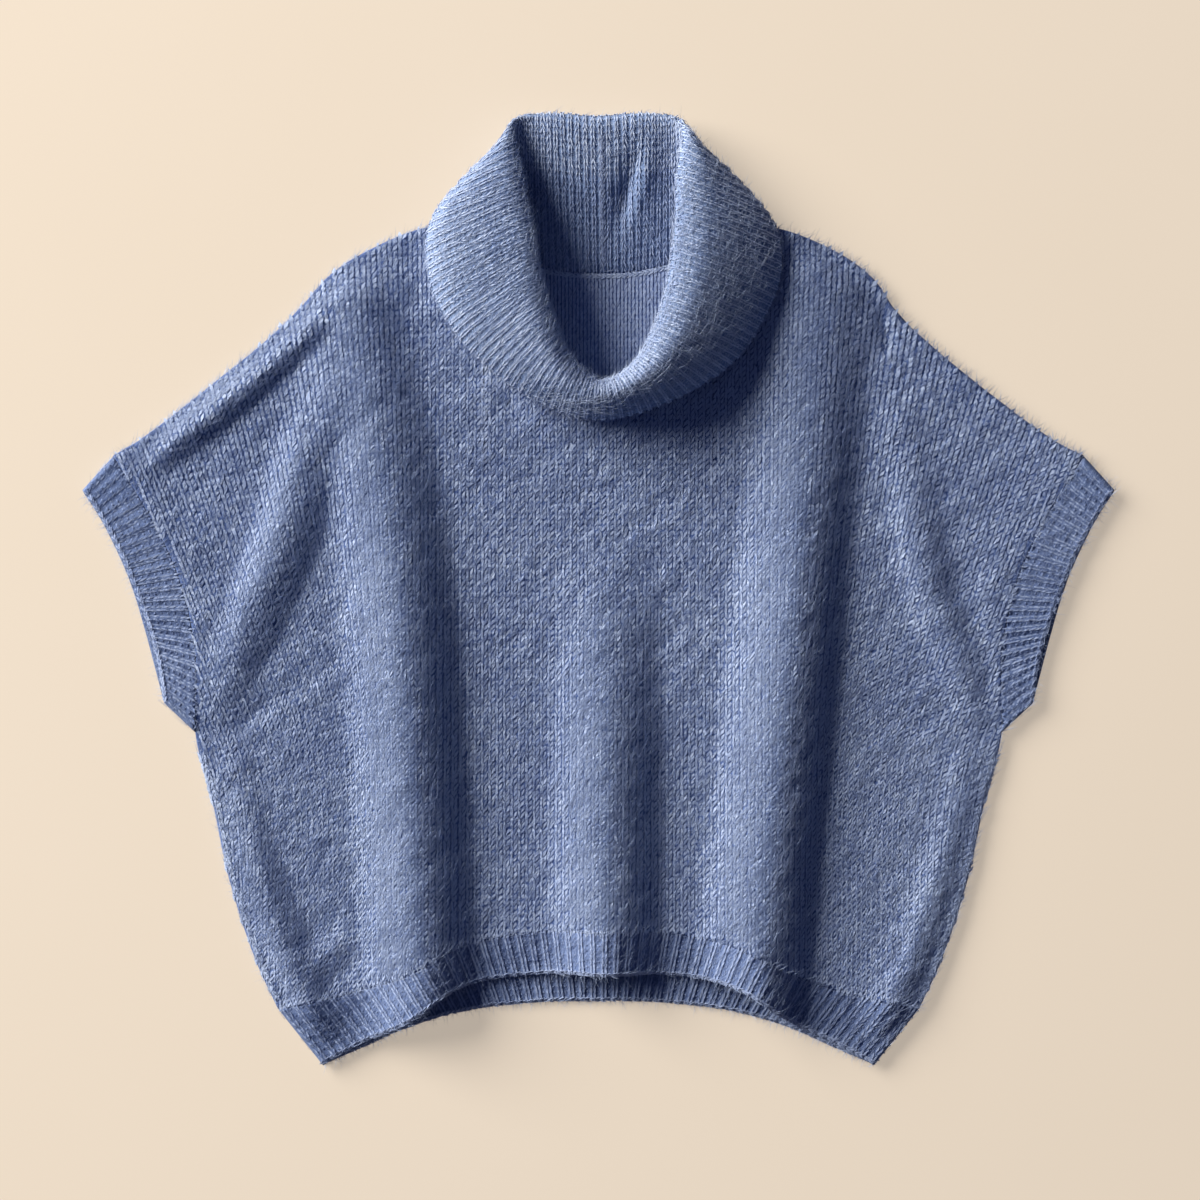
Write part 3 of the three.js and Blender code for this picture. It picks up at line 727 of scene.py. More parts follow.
def rib_stitches(name, grid, ribs, courses, pitch, course, ground, yarn, slot, seed, ring=False,
                 uneven=1.0, part=(0.0, 1.0)):
    """Plain stitches on each rib and purl heads between them, on a grid whose columns span the ribs."""
    spans = grid.shape[1] if ring else grid.shape[1] - 1
    first, last = (round(end * courses) for end in part)
    rib, row = (q.ravel() for q in np.meshgrid(np.arange(ribs), np.arange(first, last)))
    down = (row + RIB_START) / courses * (grid.shape[0] - 1)
    crest, facing, up = grid_places(grid, down, (rib + 0.5) / ribs * spans, ring)
    legs = plain_stitches(
        crest, facing, up, pitch * RIB_FILL, course, RIB_LEG_HEIGHT, RIB_LEG_WIDTH, RIB_LEAN)
    low, facing, up = grid_places(grid, down, (rib + 1.0) / ribs * spans, ring)
    bars = purl_bumps(low, facing, up, pitch * (1 - RIB_FILL), course)
    even = {"turn": 0.1 * uneven, "size": 0.12 * uneven, "scatter": 0.00015 * uneven}
    return [knit_piece(name + "_rib_stitches", legs, yarn, slot, seed, **even),
            knit_piece(name + "_purl_stitches", bars, ground, slot, seed + 50, **even)]


def edge_turn(w):
    """How far a band has turned over at its cast-off edge."""
    return np.clip((w - TURN_FROM) / TURN_REACH, 0, 1)


def hem_end_drop(s):
    """How far a hem band's face turns down towards its two ends."""
    inside = np.clip(np.minimum(s, 1 - s) * HEM_WIDTH / EDGE_ROUND, 0, 1)
    return GROUND * EDGE_THINS * round_off(1 - inside)


def evenly_down(grid, down, count):
    """A band's grid read at even steps from its seam to its edge."""
    even = np.linspace(0, 1, count)
    return np.stack([[np.interp(even, down, grid[:, j, k]) for k in range(3)]
                     for j in range(grid.shape[1])]).transpose(2, 0, 1)


def hem_band(name, seam, edge_places, lift_at, node, seed, flat=False):
    """A rib band between its seam line and its cast-off edge."""
    edge = line_across(edge_places)
    across = np.linspace(0, 1, HEM_RIBS * RIB_STEPS + 1)
    depth = np.linalg.norm(seam(np.array([0.5])) - edge(np.array([0.5])))
    down = np.array([SEAM_GAP / depth, 0.06, 0.14, 0.28, 0.42, 0.56, 0.70, 0.82, 0.90, 0.95, 0.98, 1.0])
    s, w = np.meshgrid(across, down)
    plan = seam(s) * (1 - w[..., None]) + edge(s) * w[..., None]
    lift = lift_at(s, w, plan)
    turned = round_off(edge_turn(w))
    rim = HEM_RIM * np.exp(-((w - HEM_RIM_AT) / HEM_RIM_WIDE) ** 2)
    face = lift + GROUND + RIB_FORM * rib_wave(s, HEM_RIBS) + rim
    face = face - np.maximum(GROUND * HEM_TURNS_DOWN * turned, hem_end_drop(s))
    outer = np.dstack([plan, face])
    under = lift + (0 if flat else GROUND * HEM_TURNS_UP * turned)
    inner = np.dstack([plan, under])
    cloth = cloth_piece(
        name + "_cloth", wall_mesh(name, outer, sparser(inner, 1, 3)), rib_shaded_ground, node)
    courses = int(round(float(np.mean(np.linalg.norm(seam(across) - edge(across), axis=1))) / COURSE))
    even_grid = evenly_down(outer, down, HEM_READ_ROWS)
    stitches = rib_stitches(
        name, even_grid, HEM_RIBS, courses, RIB_PITCH, COURSE, rib_bar, rib_yarn, "rib_knit", seed)
    return cloth, stitches, even_grid


def no_lift(s, w, plan):
    """The back's band lies flat on the surface."""
    return 0 * s


back_hem, back_hem_stitches, back_hem_grid = hem_band(
    "back_hem", back_hem_seam, BACK_HEM_EDGE, no_lift, "hem_band_back", seed=11, flat=True)

# Front panel
# The upper half of the body, with the plain side out. It lies on the back at its edges and stands off it
# in broad soft folds that run from the shoulders to the hem, with many small creases between them.
PANEL_LIFT = CLOTH + SEAM_GAP
HEM_LIFT = PANEL_LIFT + RIB_RISE
NECK_LIFT = 0.0025
CUFF_STEP = 0.0020
EDGE_EASE = 0.05
LOOSE_EDGE = 0.02
NECK_LIFT_PAST = 0.03
NECK_LIFT_FADE = 0.1
NECK_LIFT_DOWN = 0.12
HEM_LIFT_FROM = 0.8
HEM_LIFT_FADE = 0.2
CUFF_STEP_TO = 0.42
CUFF_STEP_FADE = 0.08
FOLD_STEPS = 160
FRONT_HEM_SEAM = [
    (0.256, -0.335), (0.200, -0.323), (0.155, -0.308), (0.110, -0.285), (0.050, -0.274), (0.0, -0.2725)]
FOLDS = [
    {"name": "left body", "path": [(-0.190, 0.226), (-0.157, 0.010), (-0.132, -0.400)],
     "left": 0.060, "right": 0.044, "rise": (0.009, 0.0225, 0.0235)},
    {"name": "middle body", "path": [(0.008, 0.080), (0.010, -0.100), (0.008, -0.400)],
     "left": 0.056, "right": 0.044, "rise": (0.0, 0.0195, 0.0245)},
    {"name": "right body", "path": [(0.182, 0.240), (0.158, -0.010), (0.119, -0.400)],
     "left": 0.060, "right": 0.044, "rise": (0.009, 0.0220, 0.0235)},
    {"name": "left sleeve", "path": [(-0.218, 0.160), (-0.258, 0.022), (-0.312, -0.092)],
     "left": 0.034, "right": 0.030, "rise": (0.004, 0.010, 0.005)},
    {"name": "right sleeve", "path": [(0.243, 0.135), (0.262, 0.010), (0.300, -0.085)],
     "left": 0.030, "right": 0.026, "rise": (0.002, 0.006, 0.004)},
    {"name": "left shoulder", "path": [(-0.232, 0.210), (-0.300, 0.152), (-0.372, 0.096)],
     "left": 0.030, "right": 0.020, "rise": (0.006, 0.010, 0.007)},
    {"name": "left side", "path": [(-0.300, -0.140), (-0.278, -0.230), (-0.232, -0.340)],
     "left": 0.022, "right": 0.030, "rise": (0.003, 0.008, 0.007)},
    {"name": "right side", "path": [(0.300, -0.140), (0.278, -0.230), (0.232, -0.340)],
     "left": 0.030, "right": 0.022, "rise": (0.003, 0.006, 0.006)},
]
# Creases: where each starts and ends, how far it bows to its left, its half width, and its rise, which
# is a ridge above 0 and a trough below it.
CREASE_COLUMNS = ("from", "to", "bow", "wide", "rise")
CREASES = [dict(zip(CREASE_COLUMNS, row)) for row in (
    ((-0.196, 0.262), (-0.152, 0.196), 0.004, 0.009, -0.0018),
    ((-0.156, 0.262), (-0.128, 0.214), -0.003, 0.008, -0.0016),
    ((-0.170, 0.204), (-0.150, 0.150), 0.002, 0.009, -0.0011),
    ((-0.186, 0.190), (-0.232, 0.156), -0.003, 0.0105, -0.0013),
    ((-0.206, 0.132), (-0.168, 0.160), 0.003, 0.009, 0.0010),
    ((0.226, 0.232), (0.234, 0.188), -0.003, 0.006, -0.0024),
    ((0.206, 0.226), (0.214, 0.190), 0.002, 0.008, 0.0011),
    ((-0.250, -0.070), (-0.200, -0.108), 0.005, 0.0105, -0.0013),
    ((-0.244, -0.098), (-0.204, -0.072), 0.003, 0.008, 0.0010),
    ((-0.300, -0.112), (-0.252, -0.078), -0.004, 0.009, -0.0016),
    ((-0.238, -0.312), (-0.196, -0.276), 0.003, 0.0065, 0.0014),
    ((-0.226, -0.326), (-0.184, -0.292), 0.003, 0.0065, -0.0016),
    ((-0.246, -0.290), (-0.206, -0.252), -0.002, 0.008, -0.0013),
    ((-0.222, -0.232), (-0.180, -0.196), 0.003, 0.009, 0.0008),
    ((-0.096, 0.170), (-0.060, 0.126), 0.004, 0.0105, -0.0010),
    ((-0.118, 0.132), (-0.074, 0.170), 0.003, 0.009, 0.0008),
    ((-0.062, -0.050), (-0.020, -0.008), 0.004, 0.009, 0.0008),
    ((0.028, -0.030), (0.074, 0.022), 0.005, 0.009, 0.0009),
    ((0.034, -0.062), (0.082, -0.020), 0.004, 0.008, -0.0010),
    ((0.040, -0.098), (0.078, -0.060), -0.003, 0.008, 0.0009),
    ((-0.082, -0.190), (-0.048, -0.220), 0.004, 0.0105, -0.0011),
    ((0.060, -0.180), (0.094, -0.140), 0.003, 0.009, 0.0008),
    ((0.212, -0.150), (0.246, -0.206), -0.005, 0.0105, -0.0008),
    ((0.216, -0.212), (0.250, -0.176), 0.004, 0.0105, 0.0008),
    ((0.236, -0.300), (0.246, -0.276), 0.001, 0.005, -0.0021),
    ((0.318, -0.052), (0.300, -0.096), 0.003, 0.008, -0.0019),
    ((0.268, 0.030), (0.300, -0.030), -0.004, 0.009, -0.0010),
    ((-0.330, 0.070), (-0.290, 0.024), 0.004, 0.0105, 0.0010),
    ((-0.352, 0.070), (-0.316, 0.060), 0.002, 0.0065, -0.0014),
    ((-0.326, -0.030), (-0.298, 0.012), -0.004, 0.0105, 0.0011),
    ((0.330, 0.040), (0.306, -0.010), 0.003, 0.009, 0.0010),
)]
# Small unevenness of the knit: soft lumps that lean up to the right.
LUMP_COUNT = 60
LUMP_RISE = 0.00018
LUMP_LENGTH = (0.016, 0.044)
LUMP_LEAN = math.radians(45)
LUMP_SPREAD = 0.45


def fold_rise(fold, x, y):
    """The height of one fold: highest on its path and down to nothing at its two widths."""
    path = smooth_line(fold["path"])(np.linspace(0, 1, FOLD_STEPS + 1))
    offset_x = x.ravel()[:, None] - path[:, 0]
    offset_y = y.ravel()[:, None] - path[:, 1]
    nearest = np.argmin(offset_x ** 2 + offset_y ** 2, axis=1)
    run = unit(path[np.minimum(nearest + 1, FOLD_STEPS)] - path[np.maximum(nearest - 1, 0)])
    pick = np.arange(len(nearest))
    off_x, off_y = offset_x[pick, nearest], offset_y[pick, nearest]
    side = run[:, 0] * off_y - run[:, 1] * off_x
    past = off_x * run[:, 0] + off_y * run[:, 1]
    width = np.where(side > 0, fold["right"], fold["left"])
    far = np.clip(np.hypot(side, past) / width, 0, 1)
    t = nearest / FOLD_STEPS * 2
    start, middle, end = fold["rise"]
    rise = np.where(t < 1, start + (middle - start) * ease(t), middle + (end - middle) * ease(t - 1))
    return (rise * 0.5 * (1 + np.cos(math.pi * far))).reshape(x.shape)


def crease_rise(crease, x, y):
    """The height of one crease: most at its middle and down to nothing at its ends and its sides."""
    start, end = np.array(crease["from"]), np.array(crease["to"])
    run = end - start
    length = np.linalg.norm(run)
    run = run / length
    t = np.clip(((x - start[0]) * run[0] + (y - start[1]) * run[1]) / length, 0, 1)
    aside = -(x - start[0]) * run[1] + (y - start[1]) * run[0] - crease["bow"] * 4 * t * (1 - t)
    return crease["rise"] * np.sin(math.pi * t) ** 0.8 * np.exp(-(aside / crease["wide"]) ** 2)


lump_random = np.random.default_rng(5)
lump_wave = 2 * math.pi / lump_random.uniform(*LUMP_LENGTH, LUMP_COUNT)
lump_turn = LUMP_LEAN + math.pi / 2 + lump_random.normal(0, LUMP_SPREAD, LUMP_COUNT)
lump_phase = lump_random.uniform(0, 2 * math.pi, LUMP_COUNT)


def lump_rise(x, y):
    total = np.zeros_like(x)
    for wave, turn, phase in zip(lump_wave, lump_turn, lump_phase):
        total += np.sin(wave * (x * math.cos(turn) + y * math.sin(turn)) + phase)
    return total * LUMP_RISE * math.sqrt(2 / LUMP_COUNT)


def folds_rise(x, y):
    return sum(fold_rise(fold, x, y) for fold in FOLDS)


def crumple(x, y):
    return sum(crease_rise(crease, x, y) for crease in CREASES) + lump_rise(x, y)


front_top = top_line(NECK_LEFT, NECK_RIGHT)
front_hem_seam = line_across(FRONT_HEM_SEAM)
front_plan = panel_plan(front_top, front_hem_seam)


def side_ease(s, v):
    return ease(np.minimum(s, 1 - s) / EDGE_EASE) * ease(v / EDGE_EASE)


def front_lift(s, v, plan):
    """The underside of the front: its lift off the back, over the hem and at the neck, and its folds."""
    neck_part = ease((np.minimum(s - NECK_FROM, NECK_TO - s) + NECK_LIFT_PAST) / NECK_LIFT_FADE)
    neck = NECK_LIFT * neck_part * (1 - ease(v / NECK_LIFT_DOWN))
    hem = (HEM_LIFT - PANEL_LIFT) * ease((v - HEM_LIFT_FROM) / HEM_LIFT_FADE)
    cuff_part = (1 - ease(np.minimum(s, 1 - s) / EDGE_EASE)) * (1 - ease((v - CUFF_STEP_TO) / CUFF_STEP_FADE))
    folds = folds_rise(plan[..., 0], plan[..., 1]) * side_ease(s, v)
    return PANEL_LIFT + hem + neck + CUFF_STEP * cuff_part + folds


front_columns, front_rows = panel_steps(shoulder=46, neck=66, rows=130)
s, v = np.meshgrid(front_columns, front_rows)
plan = front_plan(s, v)
lift = front_lift(s, v, plan)
loose = crumple(plan[..., 0], plan[..., 1]) * ease(np.minimum(s, 1 - s) / LOOSE_EDGE)
front_face = np.dstack([plan, lift + GROUND + loose - edge_drop(s, v, front_plan)])
front_under = np.dstack([plan, lift + np.minimum(loose, 0)])
front = cloth_piece(
    "front_cloth", wall_mesh("front_cloth", front_face, sparser(front_under)), body_shaded_ground,
    "front_panel")

# The wales run straight down the body, lean outwards up into the sleeves and draw in under the arms.
SLEEVE_LEAN = 0.42
SLEEVE_FROM, SLEEVE_TO = 0.12, 0.34
LEAN_BELOW = 0.05
LEAN_FADE = 0.07
SIDE_DROOP = 0.75
DROOP_FADE = 0.2
KNIT_TOP, KNIT_BOTTOM, KNIT_REACH = 0.40, -0.36, 0.46
KNIT_INSET = 0.0016
HEM_INSET_SHARE = 0.6


def knit_lattice(top, bottom, reach):
    """Plan places of all stitches in rows and wales, with the direction each wale runs up."""
    wales = (np.arange(-int(reach / WALE), int(reach / WALE) + 1) + 0.5) * WALE
    courses = np.arange(bottom, top, COURSE)
    lean_steps = np.linspace(0, reach + WALE, 400)
    lean = SLEEVE_LEAN * ease((lean_steps - SLEEVE_FROM) / (SLEEVE_TO - SLEEVE_FROM))
    droop = np.concatenate([[0], np.cumsum((lean[1:] + lean[:-1]) / 2 * np.diff(lean_steps))])

    def place(wale, course):
        out = np.abs(wale)
        below = np.minimum(course + LEAN_BELOW, 0)
        height = np.maximum(course, -LEAN_BELOW) + LEAN_FADE * np.tanh(below / LEAN_FADE)
        calm = 1 - (1 - SIDE_DROOP) * ease(-(course + LEAN_BELOW) / DROOP_FADE)
        x = out + np.interp(out, lean_steps, lean) * height
        y = course - np.interp(out, lean_steps, droop) * calm
        return np.stack([np.sign(wale) * x, y], -1)

    wale, course = (q.ravel() for q in np.meshgrid(wales, courses))
    here = place(wale, course)
    up = unit(place(wale, course + COURSE / 2) - place(wale, course - COURSE / 2))
    pitch = np.linalg.norm(place(wale + WALE / 2, course) - place(wale - WALE / 2, course), axis=1)
    return here, up, pitch


def inside_outline(places, outline):
    """Which places lie inside a closed outline."""
    x, y = places[:, 0], places[:, 1]
    within = np.zeros(len(places), bool)
    for (ax, ay), (bx, by) in zip(outline, np.roll(outline, -1, axis=0)):
        crosses = (ay > y) != (by > y)
        if np.any(crosses):
            within ^= crosses & (x < (bx - ax) * (y - ay) / (by - ay + 1e-15) + ax)
    return within


def outline_of(plan_at, inset):
    """A panel's outline drawn a little way in from its edges."""
    steps = np.linspace(inset, 1 - inset, 200)
    ends = np.full_like(steps, inset)
    return np.vstack([
        plan_at(steps, ends), plan_at(1 - ends, steps),
        plan_at(steps[::-1], 1 - ends * HEM_INSET_SHARE),
        plan_at(ends, steps[::-1])])


front_tree = surface_tree(front_face)
places, run, pitch = knit_lattice(KNIT_TOP, KNIT_BOTTOM, KNIT_REACH)
within = inside_outline(places, outline_of(front_plan, KNIT_INSET))
places, run, pitch = places[within], run[within], pitch[within]
spots, facing, kept = dropped(places, front_tree)
up = np.column_stack([run[kept], np.zeros(len(kept))])
up = unit(up - facing * np.sum(up * facing, axis=1, keepdims=True))
for half, seed, chosen in (("left", 21, spots[:, 0] < 0), ("right", 22, spots[:, 0] >= 0)):
    knit_piece(f"front_stitches_{half}", plain_stitches(
        spots[chosen], facing[chosen], up[chosen], pitch[kept][chosen], COURSE, skew=BRUSHED_SKEW),
        body_yarn, "body_knit", seed)

# Hem band of the front
# The same rib on the front's lower edge. It stands off the back's band where the folds run out, and its
# edge turns over as a pale rim.
FRONT_HEM_EDGE = [
    (0.220, -0.380), (0.188, -0.362), (0.155, -0.346), (0.110, -0.317), (0.050, -0.307), (0.0, -0.306)]


def front_hem_lift(s, w, plan):
    """The front's band rides over the back's and rises with the folds."""
    return HEM_LIFT + folds_rise(plan[..., 0], plan[..., 1]) * ease(np.minimum(s, 1 - s) / EDGE_EASE)


front_hem, front_hem_stitches, front_hem_grid = hem_band(
    "front_hem", front_hem_seam, FRONT_HEM_EDGE, front_hem_lift, "hem_band_front", seed=31)

# Cuffs
# A rib tube picked up along each sleeve opening and pressed flat: the upper wall carries the ribs that
# show and the lower wall rests on the surface.
CUFF_EDGE = [
    (0.4124, 0.0795), (0.397, 0.0555), (0.3805, 0.0235), (0.366, -0.013), (0.356, -0.042),
    (0.350, -0.070), (0.347, -0.091)]
CUFF_RIBS = 25
CUFF_WALL = 0.0026
CUFF_HEIGHT = 0.0072
CUFF_DEPTH = 0.032
CUFF_WIDTH = 0.224
CUFF_COURSES = 7
CUFF_PINCH = 0.0013
CUFF_READ_ROWS = 17


def cuff(name, turn, node, seed):
    """One cuff, on the left where turn is -1 and on the right where it is 1."""
    seam = smooth_line([(x * turn, y) for x, y in CUFF_SEAM])
    edge = smooth_line([(x * turn, y) for x, y in CUFF_EDGE])
    down = np.array([SEAM_GAP / CUFF_DEPTH, 0.12, 0.3, 0.5, 0.7, 0.86, 0.94, 0.98, 1.0])
    half = CUFF_HEIGHT / 2

    def ring(inset, rib_form, upper_steps, end_steps, lower_steps):
        """Fractions along the cuff and heights, going round the pressed tube."""
        bend = (half - inset) / CUFF_WIDTH
        start = inset / CUFF_WIDTH + bend
        upper = np.linspace(start, 1 - start, upper_steps)
        far = np.linspace(math.pi / 2, -math.pi / 2, end_steps + 2)[1:-1]
        lower = np.linspace(1 - start, start, lower_steps)
        a = np.concatenate([upper, 1 - start + bend * np.cos(far), lower, start - bend * np.cos(far)])
        z = np.concatenate([
            CUFF_HEIGHT - inset + rib_form * rib_wave(upper, CUFF_RIBS),
            half + (half - inset) * np.sin(far), np.full(lower_steps, inset),
            half - (half - inset) * np.sin(far)])
        return a, z

    def grid(a, z, pinch):
        a2, w2 = np.meshgrid(a, down)
        z2 = np.broadcast_to(z, a2.shape).copy()
        z2 -= np.where(z2 > half, pinch * round_off(edge_turn(w2)), 0)
        where = seam(a2) * (1 - w2[..., None]) + edge(a2) * w2[..., None]
        return np.dstack([where, z2])

    upper_steps = CUFF_RIBS * RIB_STEPS + 1
    outer = grid(*ring(0.0, RIB_FORM, upper_steps, end_steps=5, lower_steps=30), CUFF_PINCH)
    inner = grid(*ring(CUFF_WALL, 0.0, upper_steps=50, end_steps=3, lower_steps=24), pinch=0.0)
    cloth = cloth_piece(
        name + "_cloth", wall_mesh(name, outer, inner, ring=True), rib_shaded_ground, node)
    top_face = outer[:, :upper_steps]
    if turn < 0:
        top_face = top_face[:, ::-1]
    even_grid = evenly_down(top_face, down, CUFF_READ_ROWS)
    stitches = rib_stitches(
        name, even_grid, CUFF_RIBS, CUFF_COURSES, CUFF_WIDTH / CUFF_RIBS, CUFF_DEPTH / CUFF_COURSES,
        rib_bar, rib_yarn, "rib_knit", seed)
    return cloth, stitches, even_grid


cuff_left, cuff_left_stitches, cuff_left_grid = cuff("cuff_left", -1, "cuff_left", 41)
cuff_right, cuff_right_stitches, cuff_right_grid = cuff("cuff_right", 1, "cuff_right", 42)

# Collar
# One deep rib tube knitted up from the neck and folded over on itself. It stands as a soft roll round the
# front and sides and is pressed flat at the middle of the back. Each list below has one value for each
# section of the collar, in the order of the neck seam.
COLLAR_RIM = [
    (-0.002, 0.3765), (-0.041, 0.379), (-0.067, 0.372), (-0.061, 0.328), (-0.054, 0.290), (-0.048, 0.254),
    (-0.038, 0.219), (-0.023, 0.183), (0.001, 0.163), (0.026, 0.175), (0.043, 0.202), (0.055, 0.240),
    (0.061, 0.284), (0.063, 0.328), (0.066, 0.371), (0.040, 0.379)]
COLLAR_BELLY = [
    (0.0, 0.363), (-0.045, 0.365), (-0.078, 0.353), (-0.129, 0.300), (-0.134, 0.252), (-0.116, 0.210),
    (-0.085, 0.177), (-0.045, 0.149), (0.0, 0.136), (0.050, 0.148), (0.100, 0.176), (0.129, 0.213),
    (0.145, 0.256), (0.134, 0.300), (0.080, 0.353), (0.046, 0.365)]
COLLAR_EDGE = [
    (0.0, 0.325), (-0.047, 0.322), (-0.086, 0.313), (-0.127, 0.296), (-0.132, 0.252), (-0.114, 0.211),
    (-0.082, 0.179), (-0.043, 0.153), (0.0, 0.142), (0.048, 0.152), (0.097, 0.178), (0.127, 0.214),
    (0.143, 0.257), (0.132, 0.296), (0.087, 0.313), (0.048, 0.322)]
COLLAR_CREST = [0.3, 0.3, 0.3, 0.2, 0.15, 0.15, 0.22, 0.32, 0.4, 0.36, 0.33, 0.3, 0.3, 0.28, 0.3, 0.3]
COLLAR_RISE = [
    0.007, 0.010, 0.025, 0.035, 0.042, 0.046, 0.049, 0.051, 0.053, 0.052, 0.049, 0.046, 0.042, 0.036,
    0.026, 0.010]
COLLAR_LEVEL = [
    0.7, 0.7, 0.72, 0.75, 0.75, 0.75, 0.74, 0.72, 0.72, 0.78, 0.82, 0.82, 0.82, 0.80, 0.72, 0.7]
COLLAR_SHOULDER = [
    0.8, 0.8, 0.8, 0.8, 0.8, 0.8, 0.8, 0.78, 0.75, 0.69, 0.64, 0.62, 0.62, 0.66, 0.76, 0.8]
COLLAR_FOOT = [
    0.42, 0.42, 0.42, 0.42, 0.42, 0.42, 0.40, 0.36, 0.32, 0.29, 0.28, 0.28, 0.28, 0.31, 0.38, 0.42]
COLLAR_PRESSED = [1, 0.9, 0.2, 0, 0, 0, 0, 0, 0, 0, 0, 0, 0, 0, 0.2, 0.9]
PRESSED_UPPER = (0.0080, 0.0150)
PRESSED_LOWER = 0.0015
PICKED_UP = 0.0004
FRONTWARD_FROM = 1.5
FRONTWARD_FADE = 1.5
COLLAR_EDGE_LIFT = 0.003
COLLAR_THINS = 0.0008
COLLAR_EDGE_THINS = 0.0006
COLLAR_EDGE_FROM = 0.985
COLLAR_EDGE_REACH = 0.015
COLLAR_START_REACH = 0.01
RIBS_SHOW_FROM = -0.9
RIBS_SHOW_FADE = 0.5
COLLAR_UPPER_LAYER = 0.66
COLLAR_PITCH = 0.0068
COLLAR_UNEVEN = 1.8
COLLAR_RIBS = 108
COLLAR_COURSES = 38
COLLAR_STEPS = 56
COLLAR_TURN = 0.42
COLLAR_YARN = "#ADBBD7"
COLLAR_DEEP = "#909FC3"
COLLAR_PALE = "#BECAE1"
# The ground between the collar's ribs is darker than its yarn: painted shade in the recesses between the
# ribs.
COLLAR_SHADED_GROUND = "#7387AD"
COLLAR_SHADED_GROUND_DEEP = "#536891"
COLLAR_BAR = "#93A5C4"
collar_yarn = brushed_yarn("brushed mohair yarn, collar", COLLAR_YARN, COLLAR_DEEP, COLLAR_PALE, 0.35)
collar_shaded_ground = brushed_yarn(
    "ground between the collar's ribs", COLLAR_SHADED_GROUND, COLLAR_SHADED_GROUND_DEEP, COLLAR_BAR, 0.1)
collar_bar = brushed_yarn("purl bars of the collar", COLLAR_BAR, COLLAR_SHADED_GROUND, COLLAR_YARN, 0.2)


def collar_line(stations):
    """The middle of the collar's wall: for each section seven places from the seam to the edge."""
    def read(table):
        return round_neck(table, stations)
    seam, rim, belly, edge = (read(table) for table in (NECK_SEAM, COLLAR_RIM, COLLAR_BELLY, COLLAR_EDGE))
    rise, crest, level = (read(table) for table in (COLLAR_RISE, COLLAR_CREST, COLLAR_LEVEL))
    shoulder, foot = read(COLLAR_SHOULDER), read(COLLAR_FOOT)
    pressed = np.clip(read(COLLAR_PRESSED), 0, 1)
    from_back = np.minimum(stations, len(NECK_SEAM) - stations)
    frontward = ease((from_back - FRONTWARD_FROM) / FRONTWARD_FADE)
    seam_height = CLOTH / 2 + (PANEL_LIFT + NECK_LIFT * 0.8) * frontward
    standing_edge = PANEL_LIFT + CLOTH + COLLAR_EDGE_LIFT
    edge_height = PRESSED_LOWER + (standing_edge - PRESSED_LOWER) * frontward
    run = unit(round_neck(NECK_SEAM, stations + 0.01) - round_neck(NECK_SEAM, stations - 0.01))
    away = np.stack([run[:, 1], -run[:, 0]], 1)
    away *= np.where(np.sum(away * (rim - seam), 1) < 0, -1, 1)[:, None]
    start = seam + away * (frontward * (SEAM_GAP + CLOTH / 2) - PICKED_UP * (1 - frontward))[:, None]

    def between(a, b, t, z):
        t = np.broadcast_to(t, len(stations))[:, None]
        return np.column_stack([a * (1 - t) + b * t, np.broadcast_to(z, len(stations))])

    standing = [
        between(start, start, 0, seam_height),
        between(seam, rim, 0.72, seam_height * 0.4 + rise * level * 0.6),
        between(seam, rim, 1, rise * level),
        between(rim, belly, crest, rise),
        between(rim, belly, 0.78, rise * shoulder),
        between(rim, belly, 1, rise * foot),
        between(edge, edge, 0, edge_height)]
    turned = (PRESSED_UPPER[1] + PRESSED_LOWER) / 2
    flat = [
        between(start, start, 0, seam_height),
        between(seam, rim, 0.45, PRESSED_UPPER[0]),
        between(seam, rim, 0.9, PRESSED_UPPER[1]),
        between(rim, rim, 0, turned),
        between(rim, edge, 0.25, PRESSED_LOWER),
        between(rim, edge, 0.65, PRESSED_LOWER),
        between(edge, edge, 0, PRESSED_LOWER)]
    mix = pressed[:, None]
    return np.stack([a * (1 - mix) + b * mix for a, b in zip(standing, flat)])


def even_spline(points, count):
    """Evenly spaced points on the smooth curve through each column of points."""
    p = np.concatenate([2 * points[:1] - points[1:2], points, 2 * points[-1:] - points[-2:-1]])
    t = np.linspace(0, 1, 12, endpoint=False)[:, None, None]
    spans = [through(a, b, c, d, t) for a, b, c, d in zip(p, p[1:], p[2:], p[3:])]
    line = np.concatenate([*spans, points[-1:]])
    far = np.concatenate([np.zeros((1, line.shape[1])), np.cumsum(
        np.linalg.norm(np.diff(line, axis=0), axis=2), axis=0)])
    even = np.linspace(0, 1, count)
    columns = [np.stack([np.interp(even * far[-1, j], far[:, j], line[:, j, k]) for k in range(3)], 1)
               for j in range(line.shape[1])]
    return np.stack(columns, 1), far[-1]


COLLAR_RIB_STEPS = 4
collar_columns = COLLAR_RIBS * COLLAR_RIB_STEPS
stations = np.arange(collar_columns) / collar_columns * len(NECK_SEAM)
collar_middle, collar_length = even_spline(collar_line(stations), COLLAR_STEPS)

# A dent in the back of the collar, with the ridge that it pushes up on its right: place, lean, half
# sizes across and along, and rise.
COLLAR_DENTS = [
    {"at": (0.0225, 0.318), "lean": math.radians(-16), "half": (0.0085, 0.026), "rise": -0.0056},
    {"at": (0.0345, 0.328), "lean": math.radians(-14), "half": (0.0080, 0.024), "rise": 0.0030}]
upper_layer = ease((COLLAR_STEPS * COLLAR_UPPER_LAYER - np.arange(COLLAR_STEPS)[:, None]) / 3)
for dent in COLLAR_DENTS:
    off_x, off_y = (collar_middle[..., k] - dent["at"][k] for k in (0, 1))
    turn_x, turn_y = math.cos(dent["lean"]), math.sin(dent["lean"])
    across, along = off_x * turn_x + off_y * turn_y, off_y * turn_x - off_x * turn_y
    hollow = np.exp(-(across / dent["half"][0]) ** 2 - (along / dent["half"][1]) ** 2)
    collar_middle[..., 2] += dent["rise"] * hollow * upper_layer
